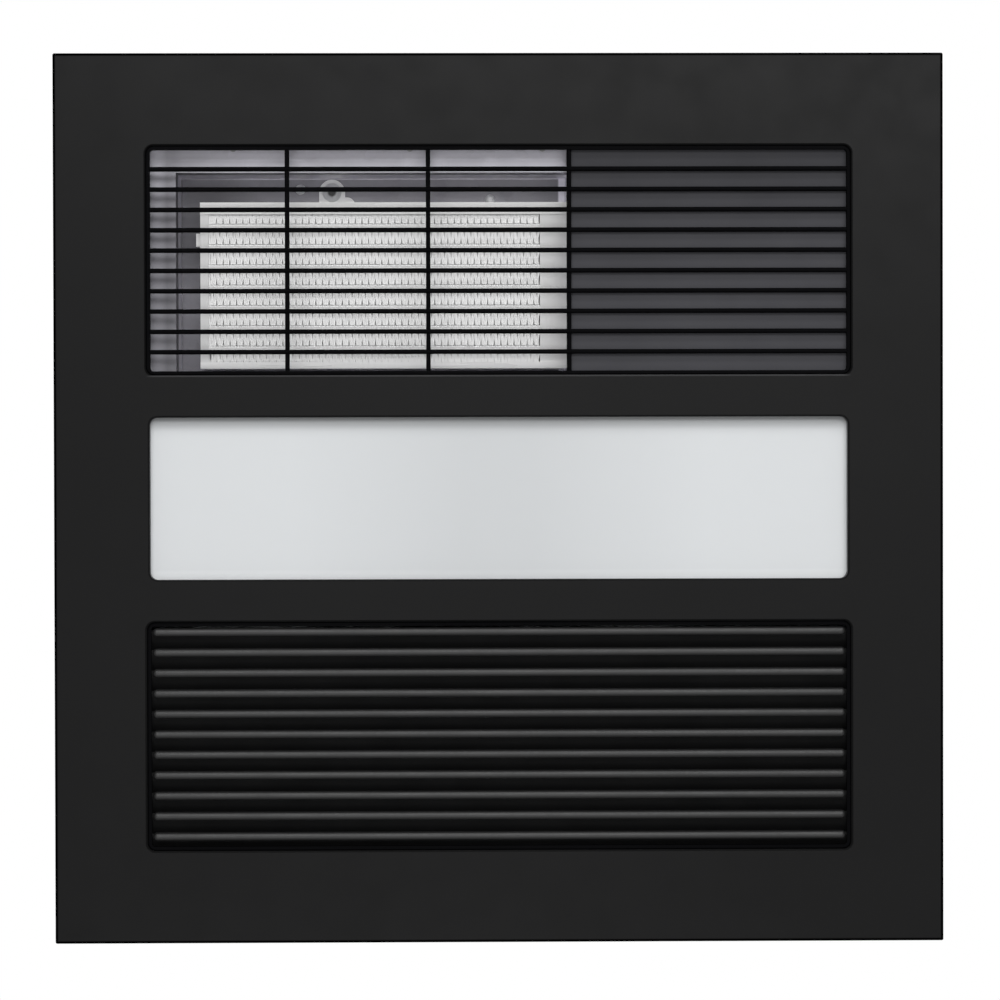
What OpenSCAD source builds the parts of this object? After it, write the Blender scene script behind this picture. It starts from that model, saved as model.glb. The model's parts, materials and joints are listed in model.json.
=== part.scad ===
// Ceiling heater, light and exhaust fan for a bathroom, in millimetres.
// The origin is the middle of the opening in the plane of the ceiling. +Z points up into the roof
// space, the face looks down (-Z), and the heater outlet is at the -Y end.

/* [Fascia] */
// Side of the square face
fascia_w = 400; // [396:1:410]
// Depth of the fascia below the ceiling
fascia_depth = 14; // [14:0.5:16]
// Thickness of the face
face_t = 2.5; // [2:0.25:3]
// Width of the grille and louvre windows
window_w = 317; // [310:1:318]
// Height of the grille and louvre windows
window_h = 103; // [99:1:104]
// Distance from the middle of the face to the middle of either window
window_y = 107; // [106:0.5:108]
// Width of the light window
light_w = 314; // [300:1:315]
// Height of the light window
light_h = 73; // [66:1:74]
// Corner radius of the windows
window_r = 3.5; // [2:0.5:5]
// Bevel round the windows
window_bevel = 0.8; // [0.4:0.1:1]

/* [Grilles] */
// Slots in the heater grille, and slats in the louvre
slot_count = 11; // [9:1:13]
// Width of a grille bar
bar_w = 2; // [1.6:0.1:2.4]
// Depth of a grille bar
bar_d = 3.8; // [3:0.1:3.8]
// Upright ribs divide the grille into this many fields
field_count = 5; // [3:1:6]
// Fields that are left open over the heater
open_fields = 3; // [2:1:4]
// Radius of a slat's rolled nose
nose_r = 2; // [1.4:0.1:2.2]
// Thickness of a slat
slat_t = 1.5; // [1.2:0.1:1.8]
// Lean of a slat from the face
slat_angle = 38; // [34:1:42]

/* [Housing] */
// Side of the square sheet steel housing
housing_w = 330; // [328:1:332]
// Height of the housing above the ceiling
housing_h = 152; // [151:1:156]
// Thickness of the steel sheet
sheet_t = 1; // [0.8:0.1:1.2]
// Width over the ceiling flange
flange_w = 374; // [370:1:380]
// Distance between the ceiling screws
screw_span = 356; // [352:1:358]
// Radius of the ceiling screw holes
screw_hole_r = 2.5; // [2:0.25:3]

/* [Heater] */
// Pitch of the fin rows
row_pitch = 9.29; // [9:0.05:9.3]
// Number of fin rows
row_count = 8; // [6:1:8]
// Thickness of a heating tube
tube_t = 3.2; // [2.6:0.1:3.6]
// Length of the finned stretch
fin_length = 151; // [140:1:151]
// Pitch of the folds in a fin
fold_pitch = 3.03; // [2.6:0.01:4]
// Thickness of the fin strip
strip_t = 0.35; // [0.3:0.05:0.5]
// Depth of the element in the air stream
element_d = 22; // [18:1:22]

/* [Blower] */
// Outer radius of the impeller
impeller_r = 75; // [72:1:75]
// Radius of the impeller's eye
eye_r = 62; // [60:1:63]
// Number of impeller blades
blade_count = 36; // [24:1:40]
// Thickness of a blade
blade_t = 0.9; // [0.8:0.1:1.2]
// Growth of the scroll's radius in each quarter turn
scroll_step = 11; // [10:0.5:11]
// Largest radius of the scroll
scroll_r = 114.5; // [113:0.5:115]

/* [Duct] */
// Outer radius of the duct spigot
spigot_r = 49; // [47:0.5:49]
// Length of the duct spigot
spigot_l = 40; // [36:1:45]
// Wall of the duct spigot
spigot_t = 2; // [1.8:0.1:2.5]

/* [Hidden] */
$fn = 64;
eps = 0.01;
over = 1;

black = [0.06, 0.06, 0.065];
slate = [0.24, 0.24, 0.26];
opal = [0.86, 0.87, 0.88];
zinc = [0.66, 0.67, 0.69];
alu = [0.86, 0.87, 0.88];
steel = [0.55, 0.56, 0.58];
ivory = [0.85, 0.84, 0.79];
grey = [0.45, 0.46, 0.47];
copper = [0.72, 0.42, 0.24];
brass = [0.78, 0.63, 0.28];
foam = [0.16, 0.16, 0.17];

// Heights of the fascia
face_z = -fascia_depth;
back_z = face_z + face_t;
rim_z = back_z + 5.5;
rim_gap = 4.4;
rim_t = 1.6;
skirt_t = 2.5;
flange_lip = 4;
insert_gap = 0.3;
insert_z = back_z + 1.6;
edge_r = 1;

// Push-in blades of the fascia and the clips that hold them
blade_x = 160;
blade_y = 45.5;
blade_w = 8;
blade_d = 3;
blade_z = 58;
clip_z = 10;
clip_h = 12;
clip_t = 0.7;

// Opal pane: its front lies on a wall round the light window
pane_z = back_z + 3;
pane_t = 2;

// Housing
inner_w = housing_w / 2 - sheet_t;

// Heater duct: inside of its mouth, and the ledge that carries the element
mouth_x0 = -146;
mouth_x1 = 31.5;
mouth_y0 = -147.5;
mouth_y1 = -54.5;
duct_z = 1;
ledge_z = 36;

// Heating element
element_x0 = -136;
element_x1 = mouth_x1 - 0.1;
element_y0 = -135;
element_z1 = ledge_z;
element_z0 = ledge_z - element_d;
rail_t = 1.2;
front_rail_t = 3.6;
lip_w = 1.8;
fins_x0 = element_x0 + 4;
fins_x1 = fins_x0 + fin_length;
rows_y0 = element_y0 + front_rail_t;
rows_h = row_pitch * row_count - tube_t;
element_y1 = rows_y0 + rows_h + rail_t;
fin_h = row_pitch - tube_t;
lug_x = -76.4;
lug_y = -141;
ledge_rivets = [[-91, -142.5], [-3.4, -137.6]];

// Air chamber over the heater
chamber_x0 = -152;
chamber_x1 = 35;
chamber_y0 = -162;
chamber_y1 = -50;
chamber_z0 = ledge_z + sheet_t;
chamber_z1 = 150;
chamber_t = 2;

// Diverter flap and its shaft
swing_y = -156.5;
swing_z = 41;
swing_r = 2.5;
bush_r = 3.3;
flap_t = 1.5;
flap_l = 101;
run_gap = 0.05;

// Blower axis and heights
fan_x = -20;
fan_y = 48;
scroll_z0 = 46;
scroll_z1 = 128;
scroll_t = 1.5;
motor_z = scroll_z1 + 2;

// Motor
shaft_r = 4;
can_r = 40;
can_z0 = motor_z + 4;
can_z1 = 186;
stack_z0 = 146;
stack_h = 24;
grommet_ring = 46;

// Duct
duct_x = -59;
duct_cz = 95;
hole_r = 46.5;
spigot_y = -housing_w / 2;
pin_y = spigot_y - 16.3;
pin_r = 1.5;
pin_side = 4;
bar_side = pin_side + 2.5;
pin_reach = 48.2;
seat_y = 12;
leaf_t = 1.2;
leaf_back = 3.1;

// Divider between the fan and the electrical compartment
divider_y = -52.5;
divider_x = 35.5;

// Solid blocks given by two corners
module block(a, b) { translate(a) cube(b - a); }

// Flat outline of a rectangle with round corners
module rounded(w, h, r) {
    square([w - 2 * r, h], center = true);
    square([w, h - 2 * r], center = true);
    for (sx = [-1, 1], sy = [-1, 1])
        translate([sx * (w / 2 - r), sy * (h / 2 - r)]) circle(r, $fn = 32);
}

// Upright wall that follows a rounded rectangle, measured to its inside
module rim(w, h, r, t, height) {
    linear_extrude(height) difference() {
        rounded(w + 2 * t, h + 2 * t, r + t);
        rounded(w, h, r);
    }
}

module tube(r_out, r_in, h) {
    difference() {
        cylinder(r = r_out, h = h);
        translate([0, 0, -over]) cylinder(r = r_in, h = h + 2 * over);
    }
}

// Points a cylinder or a ring along Y or X
module along_y() { rotate([90, 0, 0]) children(); }
module along_x() { rotate([0, 90, 0]) children(); }

// Pan head screw: the head rises from z = 0 and the shank goes down
module pan_screw(r, length, head_r, head_h) {
    ball = (head_r * head_r + head_h * head_h) / (2 * head_h);
    difference() {
        rotate_extrude() intersection() {
            translate([0, head_h - ball]) circle(ball);
            square([head_r, head_h]);
        }
        for (turn = [0, 90]) rotate([0, 0, turn])
            translate([-head_r * 0.55, -0.4, head_h * 0.45]) cube([head_r * 1.1, 0.8, head_h]);
    }
    translate([0, 0, -length]) cylinder(r = r, h = length + eps);
}

// Fascia

module window_cut(w, h) {
    translate([0, 0, face_z - over]) linear_extrude(face_t + 2 * over) rounded(w, h, window_r);
    hull() {
        translate([0, 0, face_z - eps]) linear_extrude(eps)
            rounded(w + 2 * window_bevel, h + 2 * window_bevel, window_r + window_bevel);
        translate([0, 0, face_z + window_bevel]) linear_extrude(eps) rounded(w, h, window_r);
    }
}

module edge_rounding() {
    half = fascia_w / 2;
    for (turn = [0:90:270]) rotate([0, 0, turn]) {
        translate([0, -half, face_z]) rotate([90, 0, 90]) linear_extrude(fascia_w + 2, center = true)
            difference() {
                translate([-over, -over]) square(edge_r + over);
                translate([edge_r, edge_r]) circle(edge_r, $fn = 24);
            }
        translate([-half, -half, face_z - over]) linear_extrude(fascia_depth + 2 * over)
            difference() {
                translate([-over, -over]) square(edge_r + over);
                translate([edge_r, edge_r]) circle(edge_r, $fn = 24);
            }
    }
}

// Flat blade with a barb at its tip
module push_blade() {
    block([-blade_d / 2, -blade_w / 2, back_z - eps], [blade_d / 2, blade_w / 2, blade_z]);
    translate([0, blade_w / 2, 0]) rotate([90, 0, 0]) linear_extrude(blade_w)
        polygon([[-blade_d / 2, blade_z - 5], [-blade_d / 2 - 1.6, blade_z - 4],
                 [-blade_d / 2 - 1.6, blade_z - 3], [-blade_d / 2 + 0.5, blade_z],
                 [0, blade_z], [0, blade_z - 5]]);
}

module tray_boss(side) {
    translate([side * 169, 0, back_z - eps]) difference() {
        cylinder(r = 4, h = rim_z - back_z);
        translate([0, 0, 1]) cylinder(r = 1.4, h = 10);
    }
}

module stiffening_ribs() {
    reach = fascia_w / 2 - skirt_t + eps;
    start = window_w / 2 + rim_gap + rim_t - eps;
    for (side = [-1, 1], y = [-window_y - 34, -window_y, -window_y + 34, window_y - 34, window_y,
                              window_y + 34])
        block([side > 0 ? start : -reach, y - 0.6, back_z - eps],
              [side > 0 ? reach : -start, y + 0.6, rim_z - 1]);
    top = window_y + window_h / 2 + rim_gap + rim_t - eps;
    for (side = [-1, 1], x = [-120, -60, 0, 60, 120])
        block([x - 0.6, side > 0 ? top : -reach, back_z - eps],
              [x + 0.6, side > 0 ? reach : -top, rim_z - 1]);
}

module fascia_frame() {
    half = fascia_w / 2;
    color(black) {
        difference() {
            block([-half, -half, face_z], [half, half, 0]);
            block([-half + skirt_t, -half + skirt_t, back_z], [half - skirt_t, half - skirt_t, over]);
            for (side = [-1, 1]) translate([0, side * window_y]) window_cut(window_w, window_h);
            window_cut(light_w, light_h);
            edge_rounding();
        }
        for (side = [-1, 1]) translate([0, side * window_y, back_z - eps])
            rim(window_w + 2 * rim_gap, window_h + 2 * rim_gap, window_r, rim_t, rim_z - back_z);
        translate([0, 0, back_z - eps])
            rim(light_w + 2 * rim_gap, light_h + 2 * rim_gap, window_r, rim_t, rim_z - back_z);
        translate([0, 0, back_z - eps]) rim(light_w, light_h, window_r, 1.6, pane_z - back_z);
        for (side = [-1, 1]) {
            tray_boss(side);
            for (end = [-1, 1]) translate([side * blade_x, end * blade_y])
                mirror([side > 0 ? 0 : 1, 0, 0]) push_blade();
        }
        stiffening_ribs();
    }
}

// Insert border: a frame that fills the window, with a lip behind the face
module insert_frame(w, h, border, front_z) {
    ow = w - 2 * insert_gap;
    oh = h - 2 * insert_gap;
    translate([0, 0, front_z]) linear_extrude(insert_z - front_z) difference() {
        rounded(ow, oh, window_r);
        rounded(ow - 2 * border, oh - 2 * border, 1.5);
    }
    translate([0, 0, back_z]) linear_extrude(insert_z - back_z) difference() {
        rounded(ow + 2 * flange_lip, oh + 2 * flange_lip, window_r);
        rounded(ow - 2 * border, oh - 2 * border, 1.5);
    }
}

grille_border = 2;
pitch = (window_h - 2 * insert_gap - grille_border) / slot_count;

// A bar lies along X and has a round front edge
module bar(length, depth) {
    rotate([90, 0, 90]) linear_extrude(length, center = true) {
        translate([-bar_w / 2, bar_w / 2]) square([bar_w, depth - bar_w / 2]);
        translate([0, bar_w / 2]) circle(bar_w / 2, $fn = 24);
    }
}

module heater_grille() {
    first = -window_h / 2 + insert_gap + grille_border / 2;
    inside = window_w - 2 * insert_gap - grille_border;
    front = face_z + 0.3;
    color(black) translate([0, -window_y, 0]) {
        insert_frame(window_w, window_h, grille_border, front);
        for (i = [1:slot_count - 1])
            translate([0, first + i * pitch, front]) bar(inside, bar_d);
        for (i = [1:open_fields])
            translate([-window_w / 2 + i * window_w / field_count, 0, front + 0.6])
                rotate([0, 0, 90]) bar(window_h - 2 * insert_gap - grille_border, bar_d - 0.6);
    }
}

// Dark plate behind the blind fields of the grille
module blanking_plate() {
    start = -window_w / 2 + open_fields * window_w / field_count;
    half_y = window_h / 2 + flange_lip - 0.4;
    color(slate) translate([0, -window_y, 0]) {
        block([start - bar_w / 2, -half_y, insert_z + 0.2],
              [window_w / 2 + flange_lip - 0.4, half_y, insert_z + 1.2]);
        for (x = [start + 30, window_w / 2 - 30], y = [-half_y + 2.5, half_y - 2.5])
            translate([x, y, insert_z]) cylinder(r = 1.5, h = 0.2 + eps, $fn = 16);
    }
}

// A slat has a rolled nose and a web that leans back under the next one
slat_pitch = (window_h - 2 * insert_gap - 1.2) / slot_count;
slat_run = slat_pitch + 2.2;
slat_rise = nose_r + slat_run * tan(slat_angle);
module slat(length, nose_length) {
    web = slat_run / cos(slat_angle) - nose_r;
    translate([0, nose_r, nose_r]) {
        along_x() cylinder(r = nose_r, h = nose_length - 2 * nose_r, center = true, $fn = 32);
        for (end = [-1, 1]) translate([end * (nose_length / 2 - nose_r), 0, 0])
            along_x() sphere(nose_r, $fn = 32);
        rotate([90, 0, 90]) linear_extrude(length, center = true) rotate(slat_angle) {
            translate([0, nose_r - slat_t]) square([web, slat_t]);
            translate([web, nose_r - slat_t / 2]) circle(slat_t / 2, $fn = 24);
        }
    }
}

module intake_louvre() {
    border = 1.6;
    first = -window_h / 2 + 2.66;
    front = face_z + 0.4;
    inside = window_w - 2 * insert_gap - border;
    nose_inset = 2.5;
    color(black) translate([0, window_y, 0]) {
        insert_frame(window_w, window_h, border, front + 1);
        intersection() {
            for (i = [0:slot_count - 1]) translate([0, first + i * slat_pitch, front])
                slat(inside, window_w - 2 * nose_inset);
            translate([0, 0, front - over]) linear_extrude(20)
                square([window_w, window_h - 2 * insert_gap - border], center = true);
        }
        for (i = [-1, 1]) translate([i * window_w / 6, 0, front + slat_rise - 1.8])
            block([-0.8, -window_h / 2 + 2.5, 0], [0.8, window_h / 2 - 1, 1.8]);
    }
}

// Opal pane behind the light window, with a rebate round its back
module light_diffuser() {
    pane_w = light_w - 2 * insert_gap + 2 * flange_lip;
    pane_h = light_h - 2 * insert_gap + 2 * flange_lip;
    rebate = 0.4;
    color(opal) {
        translate([0, 0, pane_z]) linear_extrude(pane_t - rebate) rounded(pane_w, pane_h, window_r);
        translate([0, 0, pane_z + pane_t - rebate - eps]) linear_extrude(rebate + eps)
            rounded(pane_w - 2, pane_h - 2, window_r);
    }
}

tray_w = light_w + 2 * rim_gap - 1;
tray_h = light_h + 2 * rim_gap - 1;
tray_z0 = pane_z + pane_t;
tray_z1 = 8;

module light_tray() {
    color(zinc) difference() {
        union() {
            difference() {
                translate([0, 0, tray_z0]) linear_extrude(tray_z1 - tray_z0)
                    rounded(tray_w, tray_h, window_r);
                translate([0, 0, tray_z0 - over]) linear_extrude(tray_z1 - tray_z0 + over - sheet_t)
                    rounded(tray_w - 2 * sheet_t, tray_h - 2 * sheet_t, window_r - sheet_t);
            }
            for (side = [-1, 1]) translate([side * (tray_w / 2 + 6.5), 0, rim_z])
                block([-7, -7, 0], [7, 7, sheet_t]);
        }
        for (side = [-1, 1]) translate([side * 169, 0, rim_z - over]) cylinder(r = 1.4, h = 4);
        for (x = [-120:48:120]) translate([x, 0, tray_z1 - 2]) cylinder(r = 4, h = 4);
    }
}

module led_board() {
    color(opal) difference() {
        block([-150, -30, tray_z1 - 4.6], [150, 30, tray_z1 - 3]);
        for (x = [-140, 140], y = [-24, 24])
            translate([x, y, tray_z1 - 6]) cylinder(r = 1.5, h = 6);
    }
    color(opal) for (x = [-140, 140], y = [-24, 24])
        translate([x, y, tray_z1 - 3 - eps]) tube(3, 1.5, 2 + eps);
}

module led_chips() {
    color(brass) for (x = [-130:20:130], y = [-18, 18])
        translate([x, y, tray_z1 - 5.5]) difference() {
            block([-1.8, -1.4, 0], [1.8, 1.4, 0.9]);
            translate([0, 0, -over]) cylinder(r = 1.1, h = over + 0.3, $fn = 24);
        }
}

module tray_screws() {
    color(steel) for (side = [-1, 1])
        translate([side * 169, 0, rim_z + sheet_t]) pan_screw(1.4, 5, 3, 1.8);
}

// Housing

// Long pressed bead on the outside of a wall, along Y before it is turned
module bead(length) {
    along_y() translate([0, 0, -length / 2]) cylinder(r = 3, h = length, $fn = 32);
    for (end = [-1, 1]) translate([0, end * length / 2, 0]) sphere(3, $fn = 32);
}

module housing_box() {
    half = housing_w / 2;
    difference() {
        union() {
            block([-half, -half, -1.2], [half, half, housing_h]);
            for (side = [-1, 1], z = [40, 125]) {
                translate([side * (half - 1.8), 0, z]) bead(200);
                translate([0, half - 1.8, z]) rotate([0, 0, 90]) bead(200);
            }
            translate([0, 0, housing_h - 1.8]) for (x = [110, 135]) translate([x, 30]) bead(160);
        }
        block([-inner_w, -inner_w, -2.2], [inner_w, inner_w, housing_h - sheet_t]);
    }
}

module housing_shell() {
    half = housing_w / 2;
    lip = 10;
    color(zinc) difference() {
        union() {
            housing_box();
            difference() {
                translate([0, 0, -1.2]) linear_extrude(1.2) rounded(flange_w, flange_w, 6);
                block([-inner_w, -inner_w, -2.2], [inner_w, inner_w, 2]);
            }
            block([-inner_w - eps, -inner_w - eps, 2], [inner_w + eps, -inner_w + lip, 3]);
        }
        for (sx = [-1, 1], sy = [-1, 1]) translate([sx * screw_span / 2, sy * screw_span / 2, -3])
            cylinder(r = screw_hole_r, h = 5);
        translate([fan_x, fan_y, housing_h - 5]) cylinder(r = can_r + 4, h = 8);
        translate([duct_x, -inner_w + over, duct_cz]) along_y() cylinder(r = hole_r + 1, h = 4);
        spigot_screw_places() cylinder(r = 1.7, h = 12, center = true);
        translate([box_x + 15, box_y, housing_h - 4]) cylinder(r = 8, h = 8);
        translate([earth_x, earth_y, housing_h - 4]) cylinder(r = 2, h = 8);
        pillar_places() translate([0, 0, housing_h - 4]) cylinder(r = 1.7, h = 8);
        clip_rivet_places() cylinder(r = 1.6, h = 4, center = true);
        lip_rivet_places() cylinder(r = 1.6, h = 8, center = true);
        cover_screw_places() cylinder(r = 1.7, h = 8, center = true);
        box_screw_places() cylinder(r = 1.7, h = 12, center = true);
        driver_screw_places() cylinder(r = 1.7, h = 12, center = true);
        for (y = [-140:10:-80]) vent(y);
    }
}

// Upright vent with round ends in the wall of the electrical compartment
module vent(y) {
    for (z = [75, 95]) translate([inner_w - 4, y, z]) along_x() cylinder(r = 1.6, h = 8, $fn = 32);
    block([inner_w - 4, y - 1.6, 75], [inner_w + 4, y + 1.6, 95]);
}

// Where the fasteners go. Each place has its head along +Z
module spigot_screw_places() {
    for (turn = [45:90:315])
        translate([duct_x + 53 * cos(turn), spigot_y - 2, duct_cz + 53 * sin(turn)])
            rotate([90, 0, 0]) children();
}

module clip_rivet_places() {
    for (side = [-1, 1], end = [-1, 1])
        translate([side * housing_w / 2, end * (blade_y - 10.4), clip_z + clip_h / 2])
            rotate([0, side * 90, 0]) children();
}

module lip_rivet_places() {
    for (x = [-120, -40, 20]) translate([x, -158.5, 3]) children();
}

module cover_screw_places() {
    for (x = [60, 140]) translate([x, -157.4, duct_z]) rotate([180, 0, 0]) children();
}

module divider_screw_places() {
    for (x = [60, 140]) translate([x, -58, duct_z]) rotate([180, 0, 0]) children();
}

pillar_xy = [[60, 60], [-108, 98], [-118, 0], [25, -15]];
module pillar_places() { for (p = pillar_xy) translate([p[0], p[1], 0]) children(); }

// Terminal box, earth screw and light driver positions
box_x = 105;
box_y = -125;
box_w = 90;
box_d = 56;
box_h = 28;
earth_x = 100;
earth_y = -66.5;
driver_x = 105;
driver_y = -118;
module box_screw_places() {
    for (sx = [-1, 1]) translate([box_x + sx * (box_w / 2 - 8), box_y - 18, housing_h + 2]) children();
}
module driver_screw_places() {
    for (sx = [-1, 1]) translate([driver_x + sx * 46, driver_y + 30, housing_h]) children();
}

// Spring steel clips: an open loop round each blade, riveted to the wall
module fascia_clips() {
    color(steel) for (side = [-1, 1], end = [-1, 1])
        scale([side, end, 1]) translate([0, blade_y, clip_z]) mirror([0, 1, 0]) difference() {
            union() {
                block([inner_w - clip_t, -blade_w / 2 - 0.6, 0], [inner_w, blade_w / 2 + 12, clip_h]);
                block([blade_x - blade_d / 2 - 0.1 - clip_t, blade_w / 2 + 0.5, 0],
                      [inner_w, blade_w / 2 + 0.5 + clip_t, clip_h]);
                block([blade_x - blade_d / 2 - 0.1 - clip_t, -blade_w / 2 - 0.6, 0],
                      [blade_x - blade_d / 2 - 0.1, blade_w / 2 + 0.6, clip_h]);
                translate([blade_x - blade_d / 2 - 0.1 - clip_t, 0, clip_h / 2]) along_y()
                    translate([0, 0, -blade_w / 2 - 0.6]) cylinder(r = 0.6, h = blade_w + 1.1, $fn = 24);
            }
            translate([blade_x - blade_d / 2 - 0.1, -20, -1]) cube([4, blade_w / 2 + 20.5, clip_h + 2]);
            translate([inner_w, 10.4, clip_h / 2]) along_x() cylinder(r = 1.6, h = 4, center = true);
        }
}

module rivet(grip) {
    rotate_extrude() intersection() {
        translate([0, -2.4]) circle(3.4);
        square([2.6, 1]);
    }
    translate([0, 0, -grip]) cylinder(r = 1.6, h = grip + eps);
}

module pop_rivets() {
    color(steel) {
        clip_rivet_places() rivet(sheet_t + clip_t);
        lip_rivet_places() rivet(2);
        for (place = ledge_rivets) translate([place[0], place[1], ledge_z]) rotate([180, 0, 0])
            rivet(sheet_t);
    }
}

// Foam that closes the gap between the heater side and the rim of the grille window
module heater_gasket() {
    color(foam) difference() {
        block([-inner_w + 0.3, -inner_w + 0.3, rim_z], [inner_w - 0.3, -50.5, duct_z]);
        block([-inner_w + 3.2, -inner_w + 3.2, rim_z - over], [inner_w - 3.2, -53.4, duct_z + over]);
    }
}

// Heater

module heater_duct() {
    t = sheet_t;
    color(zinc) difference() {
        union() {
            block([-inner_w + 1, -inner_w + 1, duct_z], [chamber_x1, -50.5, duct_z + t]);
            block([mouth_x0 - t, mouth_y0 - t, duct_z], [mouth_x1 + t, mouth_y1 + t, ledge_z + t]);
            block([chamber_x0, chamber_y0, ledge_z], [chamber_x1, chamber_y1, ledge_z + t]);
        }
        block([mouth_x0, mouth_y0, duct_z - over], [mouth_x1, mouth_y1, ledge_z]);
        block([fins_x0, rows_y0 + lip_w, ledge_z - over],
              [fins_x1, element_y1 - rail_t - lip_w, ledge_z + t + over]);
        block([mouth_x1 - over, -122, 19], [mouth_x1 + t + over, -103, 31]);
        translate([lug_x, lug_y, ledge_z]) cylinder(r = 1.7, h = 6, center = true);
        for (place = ledge_rivets) translate([place[0], place[1], ledge_z])
            cylinder(r = 1.6, h = 4, center = true);
        for (x = [-100, -10]) block([x - 5, element_y1 - rail_t, ledge_z - over],
                                    [x + 5, element_y1, ledge_z + t + over]);
        lip_rivet_places() cylinder(r = 1.6, h = 8, center = true);
    }
}

// Two channel rails hold the stack of tubes and fins; one has a screwed lug, the other two hooks
module ptc_rail(t) {
    block([element_x0, 0, element_z0], [element_x1, t, element_z1]);
    for (z = [element_z0, element_z1 - 1])
        block([element_x0, 0, z], [element_x1, t + lip_w, z + 1]);
}

module ptc_frame() {
    color(alu) difference() {
        union() {
            translate([0, element_y0, 0]) ptc_rail(front_rail_t);
            translate([0, element_y1, 0]) mirror([0, 1, 0]) ptc_rail(rail_t);
            translate([lug_x, lug_y, element_z1 - 1.2]) {
                cylinder(r = 6, h = 1.2);
                block([-6, 0, 0], [6, element_y0 - lug_y + 0.5, 1.2]);
            }
            for (x = [-100, -10]) block([x - 5, element_y1 - rail_t, element_z1 - 1],
                                        [x + 5, element_y1, ledge_z + sheet_t + 1]);
        }
        translate([lug_x, lug_y, element_z1 - 3]) cylinder(r = 1.7, h = 6);
    }
}

module ptc_tubes() {
    color(alu) for (i = [0:row_count - 2])
        translate([0, rows_y0 + fin_h + i * row_pitch, 0]) difference() {
            block([fins_x0 - 0.2, 0, element_z0 + 1.6], [fins_x1 + 0.2, tube_t, element_z1 - 1.6]);
            block([fins_x0 - 2, 0.5, element_z0 + 4], [fins_x1 + 2, tube_t - 0.5, element_z1 - 4]);
        }
}

// One folded strip: flat crests touch the tubes on both sides
function fold(i, offset) = let (x = i * fold_pitch, f = fold_pitch * 0.12) [
    [x - f, offset], [x + f, offset],
    [x + fold_pitch / 2 - f, offset + fin_h - strip_t], [x + fold_pitch / 2 + f, offset + fin_h - strip_t]];
module fin_row() {
    folds = floor(fin_length / fold_pitch) - 1;
    under = [for (i = [0:folds]) each fold(i, 0)];
    upper = [for (i = [folds:-1:0]) each [for (k = [3:-1:0]) fold(i, strip_t)[k]]];
    linear_extrude(element_d - 4) polygon(concat(under, upper));
}

module ptc_fins() {
    color(alu) for (i = [0:row_count - 1])
        translate([fins_x0 + 0.5, rows_y0 + i * row_pitch, element_z0 + 2]) fin_row();
}

module ptc_end_caps() {
    color(grey) {
        block([element_x0, rows_y0, element_z0 + 1], [fins_x0 - 0.2, element_y1 - rail_t,
              element_z1 - 1]);
        block([element_x0 - 2, -121, element_z0 + 3], [element_x0 + eps, -115, element_z0 + 12]);
        difference() {
            block([fins_x1 + 0.2, rows_y0, element_z0 + 1], [element_x1, element_y1 - rail_t,
                  element_z1 - 1]);
            for (y = [-118, -112.5, -107]) block([element_x1 - 8, y - 3.15 / 2, 24.6], [40, y + 3.15 / 2, 25.4]);
        }
        block([element_x1 - eps, -121, 20], [mouth_x1 + sheet_t + 3, -104, 24.6]);
        block([element_x1 - eps, -121, 25.4], [mouth_x1 + sheet_t + 3, -104, 30]);
    }
}

module ptc_terminals() {
    color(brass) for (y = [-118, -112.5, -107]) difference() {
        block([element_x1 - 7, y - 1.5, 24.6], [46, y + 1.5, 25.4]);
        translate([42, y, 24]) cylinder(r = 0.7, h = 2, $fn = 24);
    }
}

module ptc_screws() {
    color(steel) translate([lug_x, lug_y, element_z1 - 1.2]) rotate([180, 0, 0])
        pan_screw(1.7, 4.5, 4.4, 2.2);
}

module thermostat() {
    color(black) translate([mouth_x1 + sheet_t, -78, 19]) along_x() {
        cylinder(r = 8.2, h = 1);
        cylinder(r = 7.6, h = 5.5);
        for (side = [-1, 1]) translate([0, side * 12, 0]) difference() {
            union() {
                cylinder(r = 3.6, h = 0.8);
                block([-3.6, side > 0 ? -8 : 0, 0], [3.6, side > 0 ? 0 : 8, 0.8]);
            }
            translate([0, 0, -over]) cylinder(r = 1.5, h = 4);
        }
        for (side = [-1, 1]) block([-1.6, side * 4 - 0.4, 5], [1.6, side * 4 + 0.4, 12]);
    }
}

module thermal_fuse() {
    color(ivory) translate([mouth_x1 + sheet_t + 2.2, -84, 32]) {
        along_y() cylinder(r = 2.1, h = 13, $fn = 32);
        translate([0, 4, 0]) along_y() cylinder(r = 0.6, h = 21, $fn = 24);
        translate([-2.2, -9, -0.8]) cube([2.2, 5, 1.6]);
    }
}

// Electrical compartment

module divider_panel() {
    color(zinc) difference() {
        union() {
            block([divider_x, divider_y, 2], [inner_w, divider_y + sheet_t, housing_h - sheet_t]);
            block([divider_x, divider_y - 10, 2], [inner_w, divider_y + eps, 3]);
            block([divider_x, divider_y - 10, housing_h - 2 * sheet_t],
                  [inner_w, divider_y + eps, housing_h - sheet_t]);
        }
        divider_screw_places() cylinder(r = 1.7, h = 8, center = true);
        translate([divider_x + 20, divider_y + 2, 120]) along_y() cylinder(r = 6, h = 4);
    }
}

module service_cover() {
    color(zinc) difference() {
        union() {
            block([chamber_x1 + 0.6, -inner_w + 1, duct_z], [inner_w - 1, divider_y - 0.5, 2]);
            block([chamber_x1 + 20, -140, duct_z - 0.8], [inner_w - 20, -76, 1.5]);
        }
        block([chamber_x1 + 21, -139, duct_z], [inner_w - 21, -77, 3]);
        cover_screw_places() cylinder(r = 1.7, h = 8, center = true);
        divider_screw_places() cylinder(r = 1.7, h = 8, center = true);
    }
}

module body_screws() {
    color(steel) {
        spigot_screw_places() pan_screw(1.7, 6, 3.2, 2);
        cover_screw_places() pan_screw(1.7, 6, 3.2, 2);
        divider_screw_places() pan_screw(1.7, 6, 3.2, 2);
        driver_screw_places() pan_screw(1.7, 6, 3.2, 2);
    }
}

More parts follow.
